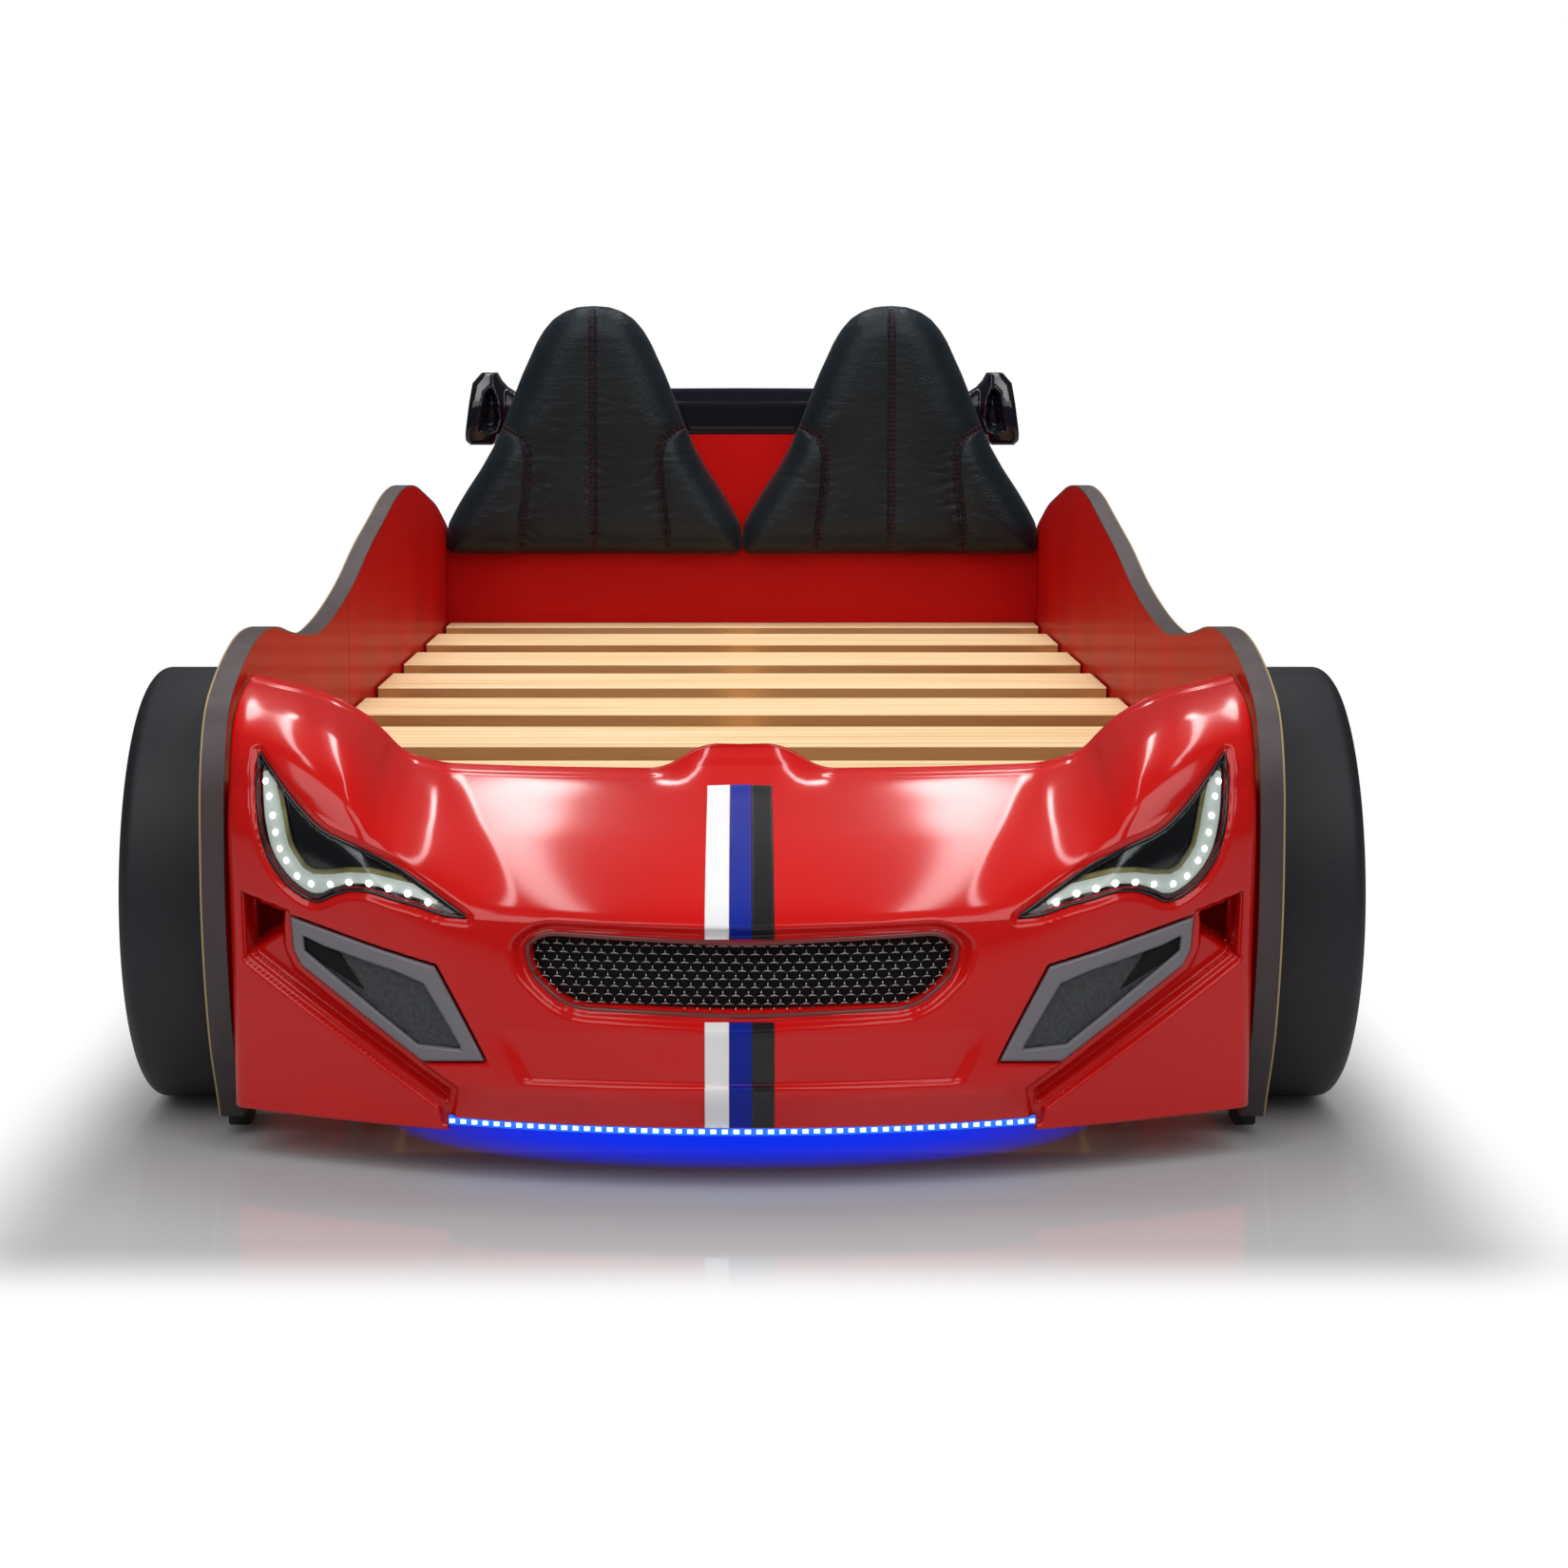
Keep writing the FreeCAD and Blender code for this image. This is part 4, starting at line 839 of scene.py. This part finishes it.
def cushion(side):
    """One seat back in leatherette."""
    name = "right" if side > 0 else "left"
    centre = side * SEAT_X
    region = lambda x, z: polygon_distance(SEAT_OUTLINE, x - centre, z) + .5
    flat = lambda x, z: np.full(np.shape(x), HEAD_Y)
    bounds = (centre - 231, centre + 231, 414, 801)
    near = lambda x, z: -seat_depth(x - centre, z)
    v, f = patch(region, bounds, 5.0, near, constant(-.6), flat)
    obj = make("seat_back_" + name, v, f, "leatherette", "leatherette", ["seat_cushion_" + name])
    remesh = obj.modifiers.new("remesh", "REMESH")
    remesh.mode = "VOXEL"
    remesh.voxel_size = .0048
    applied(obj)

    def pins(p):
        seam = seam_distance(p[:, 0] - centre, p[:, 2])
        return np.maximum(smooth(p[:, 1], HEAD_Y - 5, HEAD_Y - 1), .9 * smooth(-seam, -9, -3))

    puffed(obj, 6, pins)
    sub = obj.modifiers.new("sub", "SUBSURF")
    sub.levels = sub.render_levels = 1
    applied(obj)
    mesh = obj.data
    p = np.array([w.co for w in mesh.vertices]) / MM
    x = p[:, 0] - centre
    front = smooth(p[:, 1], HEAD_Y - 4, HEAD_Y - 16)
    seam = seam_distance(x, p[:, 2])
    drawn_in = 3.0 * np.exp(-(seam / 2.2) ** 2) - 1.0 * np.exp(-((seam - 7) / 4) ** 2)
    p[:, 1] += front * (seat_wrinkles(p, centre, 5 + side) + drawn_in)
    # Nothing passes the CAD cushion's own box.
    p[:, 1] = np.clip(p[:, 1], HEAD_Y - 64, HEAD_Y - .3)
    p[:, 2] = np.clip(p[:, 2], 414.5, 800)
    p[:, 0] = np.clip(p[:, 0], centre - 229.8, centre + 229.8)
    mesh.vertices.foreach_set("co", (p * MM).ravel())
    for poly in mesh.polygons:
        poly.use_smooth = True
    mesh.update()
    stitches(obj, centre, name)
    return obj


def applied(obj):
    """Makes an object's modifiers part of its mesh."""
    dg = bpy.context.evaluated_depsgraph_get()
    mesh = bpy.data.meshes.new_from_object(obj.evaluated_get(dg))
    obj.modifiers.clear()
    obj.data = mesh


def resample(points, pitch):
    """Points at an even pitch along a line."""
    p = np.array(points, float)
    length = np.concatenate(([0], np.cumsum(np.linalg.norm(np.diff(p, axis=0), axis=1))))
    s = np.arange(pitch / 2, length[-1], pitch)
    return np.stack([np.interp(s, length, p[:, k]) for k in range(p.shape[1])], -1)


def stitches(obj, centre, name):
    """Red thread: short stitches on each side of the seams, laid on the cushion's surface."""
    dg = bpy.context.evaluated_depsgraph_get()
    dg.update()
    made = []
    lines = [(BOLSTER, 1), (BOLSTER, -1), ([(0, 786), (0, 418)], 1)]
    for line, mirror in lines:
        points = resample(line, 1.2)
        points[:, 0] *= mirror
        tangent = np.gradient(points, axis=0)
        tangent /= np.linalg.norm(tangent, axis=1, keepdims=True)
        aside = np.stack([tangent[:, 1], -tangent[:, 0]], -1)
        for offset in (-3.6, 3.6) if line is BOLSTER else (-3.0, 3.0):
            row = points + aside * offset
            for i in range(0, len(row) - 4, 6):
                hit = []
                for x, z in row[i:i + 4]:
                    start = Vector(((centre + x) * MM, (HEAD_Y - 120) * MM, z * MM))
                    ok, where, _, _ = obj.ray_cast(start, Vector((0, 1, 0)))
                    if ok and where.y < (HEAD_Y - 8) * MM:
                        hit.append(np.array(where) / MM + [0, -.15, 0])
                if len(hit) == 4:
                    hit[0][1] += .6
                    hit[3][1] += .6
                    made.append(tube(hit, .55, 5))
    v, f = merge(made)
    make("seat_stitching_" + name, v, f, "thread", "leatherette")


# ---------------------------------------------------------------- wing
WING_Y = 1081.5
WING_HALF = [(384, 600), (386, 588), (392, 583.5), (426, 583.5), (433.5, 590), (433.5, 601), (423, 680), (409, 696.5),
             (387, 696.5), (380, 684), (371, 674), (352, 662), (330, 667), (250, 671), (0, 672)]
FIN_HOLLOW = [(411, 606), (402, 664), (392, 674), (384, 655), (380, 625), (386, 604)]


def wing():
    """One gloss moulding: a blade and its end fins, each with a rounded wall and a hollow in front."""
    outline = WING_HALF + [(-a, b) for a, b in WING_HALF[-2::-1]]
    region = lambda x, z: polygon_distance(outline, x, z)

    def edge(x, z, reach):
        inside = np.clip(-region(x, z) / reach, 0, 1)
        return reach * (1 - np.sqrt(1 - (1 - inside) ** 2))

    def near(x, z):
        hollow = polygon_distance(FIN_HOLLOW, np.abs(x), z)
        back = 26 * smooth(z, 640, 700) + 9 * smooth(-z, -612, -583)
        blade = 16 * smooth(-np.abs(x), -392, -372) * smooth(z, 598, 606)
        return edge(x, z, 7) + back + 34 * smooth(-hollow, -2, 9) + blade

    far = lambda x, z: 84 - edge(x, z, 7)
    flat = lambda x, z: np.full(np.shape(x), WING_Y)
    make("wing_moulded", *patch(region, (-435, 435, 582, 698), 3.0, near, far, flat), "wing", "wing", ["wing"])


def seams():
    """The dark joint between the front and rear side boards, as seen from inside."""
    parts = []
    for side in (1, -1):
        x0, x1 = sorted((side * 459.8, side * 460.4))
        v = np.array([(x, y, z) for x in (x0, x1) for y in (-157.2, -155.8) for z in (60, 441)], float)
        parts.append((v, [[0, 1, 3, 2], [4, 6, 7, 5], [0, 4, 5, 1], [2, 3, 7, 6], [0, 2, 6, 4], [1, 5, 7, 3]]))
    v, f = merge(parts)
    make("side_board_joints", v, f, "seam", "board")


# ---------------------------------------------------------------- wheels
WHEEL_R = 208.0
WHEEL_Z = 209.5
WHEEL_YS = (-780.5, 560.0)


def turned(profile, centre_y, side, count=160):
    """A ring turned about the wheel's axle; the profile is (x, radius)."""
    angles = np.arange(count) * 2 * math.pi / count
    verts = [(side * x, centre_y + r * math.cos(a), WHEEL_Z + r * math.sin(a)) for x, r in profile for a in angles]
    return np.array(verts), lofted(len(profile), count, True)


def wheels():
    """Moulded dress-up tyres with a rounded shoulder and a groove in the sidewall."""
    profile = rounded([(483, WHEEL_R), (560, WHEEL_R), (569, WHEEL_R - 12), (569, 172), (566, 168), (569, 163),
                       (567, 152.5), (483, 152.5)], 7)
    made = [turned(profile, y, side) for y in WHEEL_YS for side in (1, -1)]
    make("tyre_shells", *merge(made), "tyre", "tyre", ["tyres"])


# ---------------------------------------------------------------- carried-over CAD nodes
def dress():
    """Gives each CAD node the material of its slot, and sharp edges where its faces turn sharply."""
    slots = {s["node"]: s["material_slot"] for s in frame["record"]["subparts"]}
    for name, obj in NODES.items():
        obj.data.materials.clear()
        obj.data.materials.append(MATS[slots[name]])
        for poly in obj.data.polygons:
            poly.use_smooth = True
        if not obj.hide_render:
            edge = obj.modifiers.new("edges", "EDGE_SPLIT")
            edge.split_angle = math.radians(32)


# ---------------------------------------------------------------- stage
def floor_material():
    """Pale glossy floor near the bed; the camera sees plain white farther off, and the light strip's blue glow painted
    on as emission.
    """
    tree = material("floor_pale")
    sums = tree.sums
    cloud = tree.noise(tree.mapped(), 1.2)
    tree.feed("Base Color", tree.ramp(cloud, (.3, (.65, .655, .67)), (.7, (.69, .695, .71))))
    put(tree.shader, Roughness=.05, Specular_IOR_Level=1.0)
    camera_ray = tree.new("LightPath").outputs["Is Camera Ray"]
    axes = tree.split(tree.new("TexCoord").outputs["Object"])
    x, y = axes["X"], axes["Y"]

    # Distance from the bed's footprint, in metres, and how far the floor has turned white there.
    side = sums("MAXIMUM", sums("SUBTRACT", sums("ABSOLUTE", x), .55), 0.0)
    ends = sums("MAXIMUM", sums("MAXIMUM", sums("SUBTRACT", y, 1.17), sums("SUBTRACT", -1.31, y)), 0.0)
    away = sums("SQRT", sums("ADD", sums("MULTIPLY", side, side), sums("MULTIPLY", ends, ends)))
    clear_of = tree.new("MapRange", interpolation_type="SMOOTHSTEP", From_Max=.16)
    tree.join(away, clear_of.inputs["Value"])
    white = sums("MULTIPLY", clear_of.outputs["Result"], camera_ray)
    plain = tree.blended(white, tree.shader.outputs[0], tree.new("Emission").outputs[0])

    # The painted glow: a flattened blue patch that follows the lip's curve, emitted for the camera in place of the
    # strip's light on the floor.
    along = sums("DIVIDE", x, .33)
    across = sums("DIVIDE", sums("SUBTRACT", sums("ADD", y, .975), sums("MULTIPLY", sums("MULTIPLY", x, x), .7)), .10)
    painted_glow_blot = sums("ADD", sums("POWER", sums("ABSOLUTE", along), 4.0), sums("MULTIPLY", across, across))
    share = tree.new("MapRange", From_Max=1.1)
    tree.join(sums("MULTIPLY", sums("SUBTRACT", 1.0, painted_glow_blot), camera_ray), share.inputs["Value"])
    blue = tree.new("Emission", Color=(0, .03, .95, 1))
    surface = tree.blended(share.outputs["Result"], plain, blue.outputs[0])
    tree.join(surface, tree.nodes["Material Output"].inputs["Surface"])
    return tree.owner


def stage():
    """Floor, surroundings that are white for the camera, lights and the photograph's camera."""
    scene = bpy.context.scene
    bpy.ops.mesh.primitive_plane_add(size=60, location=(0, 0, 0))
    floor = bpy.context.object
    floor.name = "floor"
    floor.data.materials.append(floor_material())

    scene.world = bpy.data.worlds.new("studio")
    tree = Tree(scene.world)
    path = tree.new("LightPath")
    background = put(tree.nodes["Background"], Color=(1, 1, 1, 1))
    strength = tree.ranged(path.outputs["Is Camera Ray"], .33, 1)
    strength = tree.sums("MULTIPLY_ADD", path.outputs["Is Glossy Ray"], -.26, strength)
    tree.join(strength, background.inputs["Strength"])

    # The bars make the bonnet's soft streaks; the floor doesn't mirror them.
    spared = bpy.data.collections.new("spared_by_bars")
    spared.objects.link(floor)
    spared.collection_objects[0].light_linking.link_state = "EXCLUDE"
    for name, place, target, size, power in (
            ("key_left", (-1.5, -3.0, 2.9), (-.3, -.7, .3), (1.9, 2.9), 38),
            ("key_right", (1.5, -3.0, 2.9), (.3, -.7, .3), (1.9, 2.9), 38),
            ("bar_left", (-.58, 1.0, 2.9), None, (.15, 4.4), 16),
            ("bar_right", (.58, 1.0, 2.9), None, (.15, 4.4), 16),
            ("overhead", (0, .9, 3.4), (0, .4, 0), (2.6, 2.6), 70),
            ("low_front", (0, -5.6, 1.3), (0, -1, .3), (4.5, 1.2), 14)):
        data = bpy.data.lights.new(name, "AREA")
        data.shape = "RECTANGLE"
        data.size, data.size_y = size
        data.energy = power
        lamp = bpy.data.objects.new(name, data)
        scene.collection.objects.link(lamp)
        lamp.location = place
        if target:
            lamp.rotation_euler = (Vector(target) - Vector(place)).to_track_quat("-Z", "Y").to_euler()
        else:
            lamp.rotation_euler = (0, 0, math.copysign(.068, place[0]))
            lamp.light_linking.receiver_collection = spared
        lamp.visible_glossy = name.startswith(("key", "bar"))

    camera = bpy.data.cameras.new("camera")
    camera.sensor_width, camera.lens = 36, 70.65
    camera.shift_x, camera.shift_y = .0267, -.0614
    holder = bpy.data.objects.new("camera", camera)
    scene.collection.objects.link(holder)
    holder.location = (0, -3.743, .7094)
    holder.rotation_euler = (math.radians(84), 0, 0)
    scene.camera = holder
    scene.view_settings.view_transform = "Standard"


bumper()
stripes()
headlights()
fog_lamps()
grille()
strip()
cushion(1)
cushion(-1)
wing()
seams()
wheels()
dress()
stage()
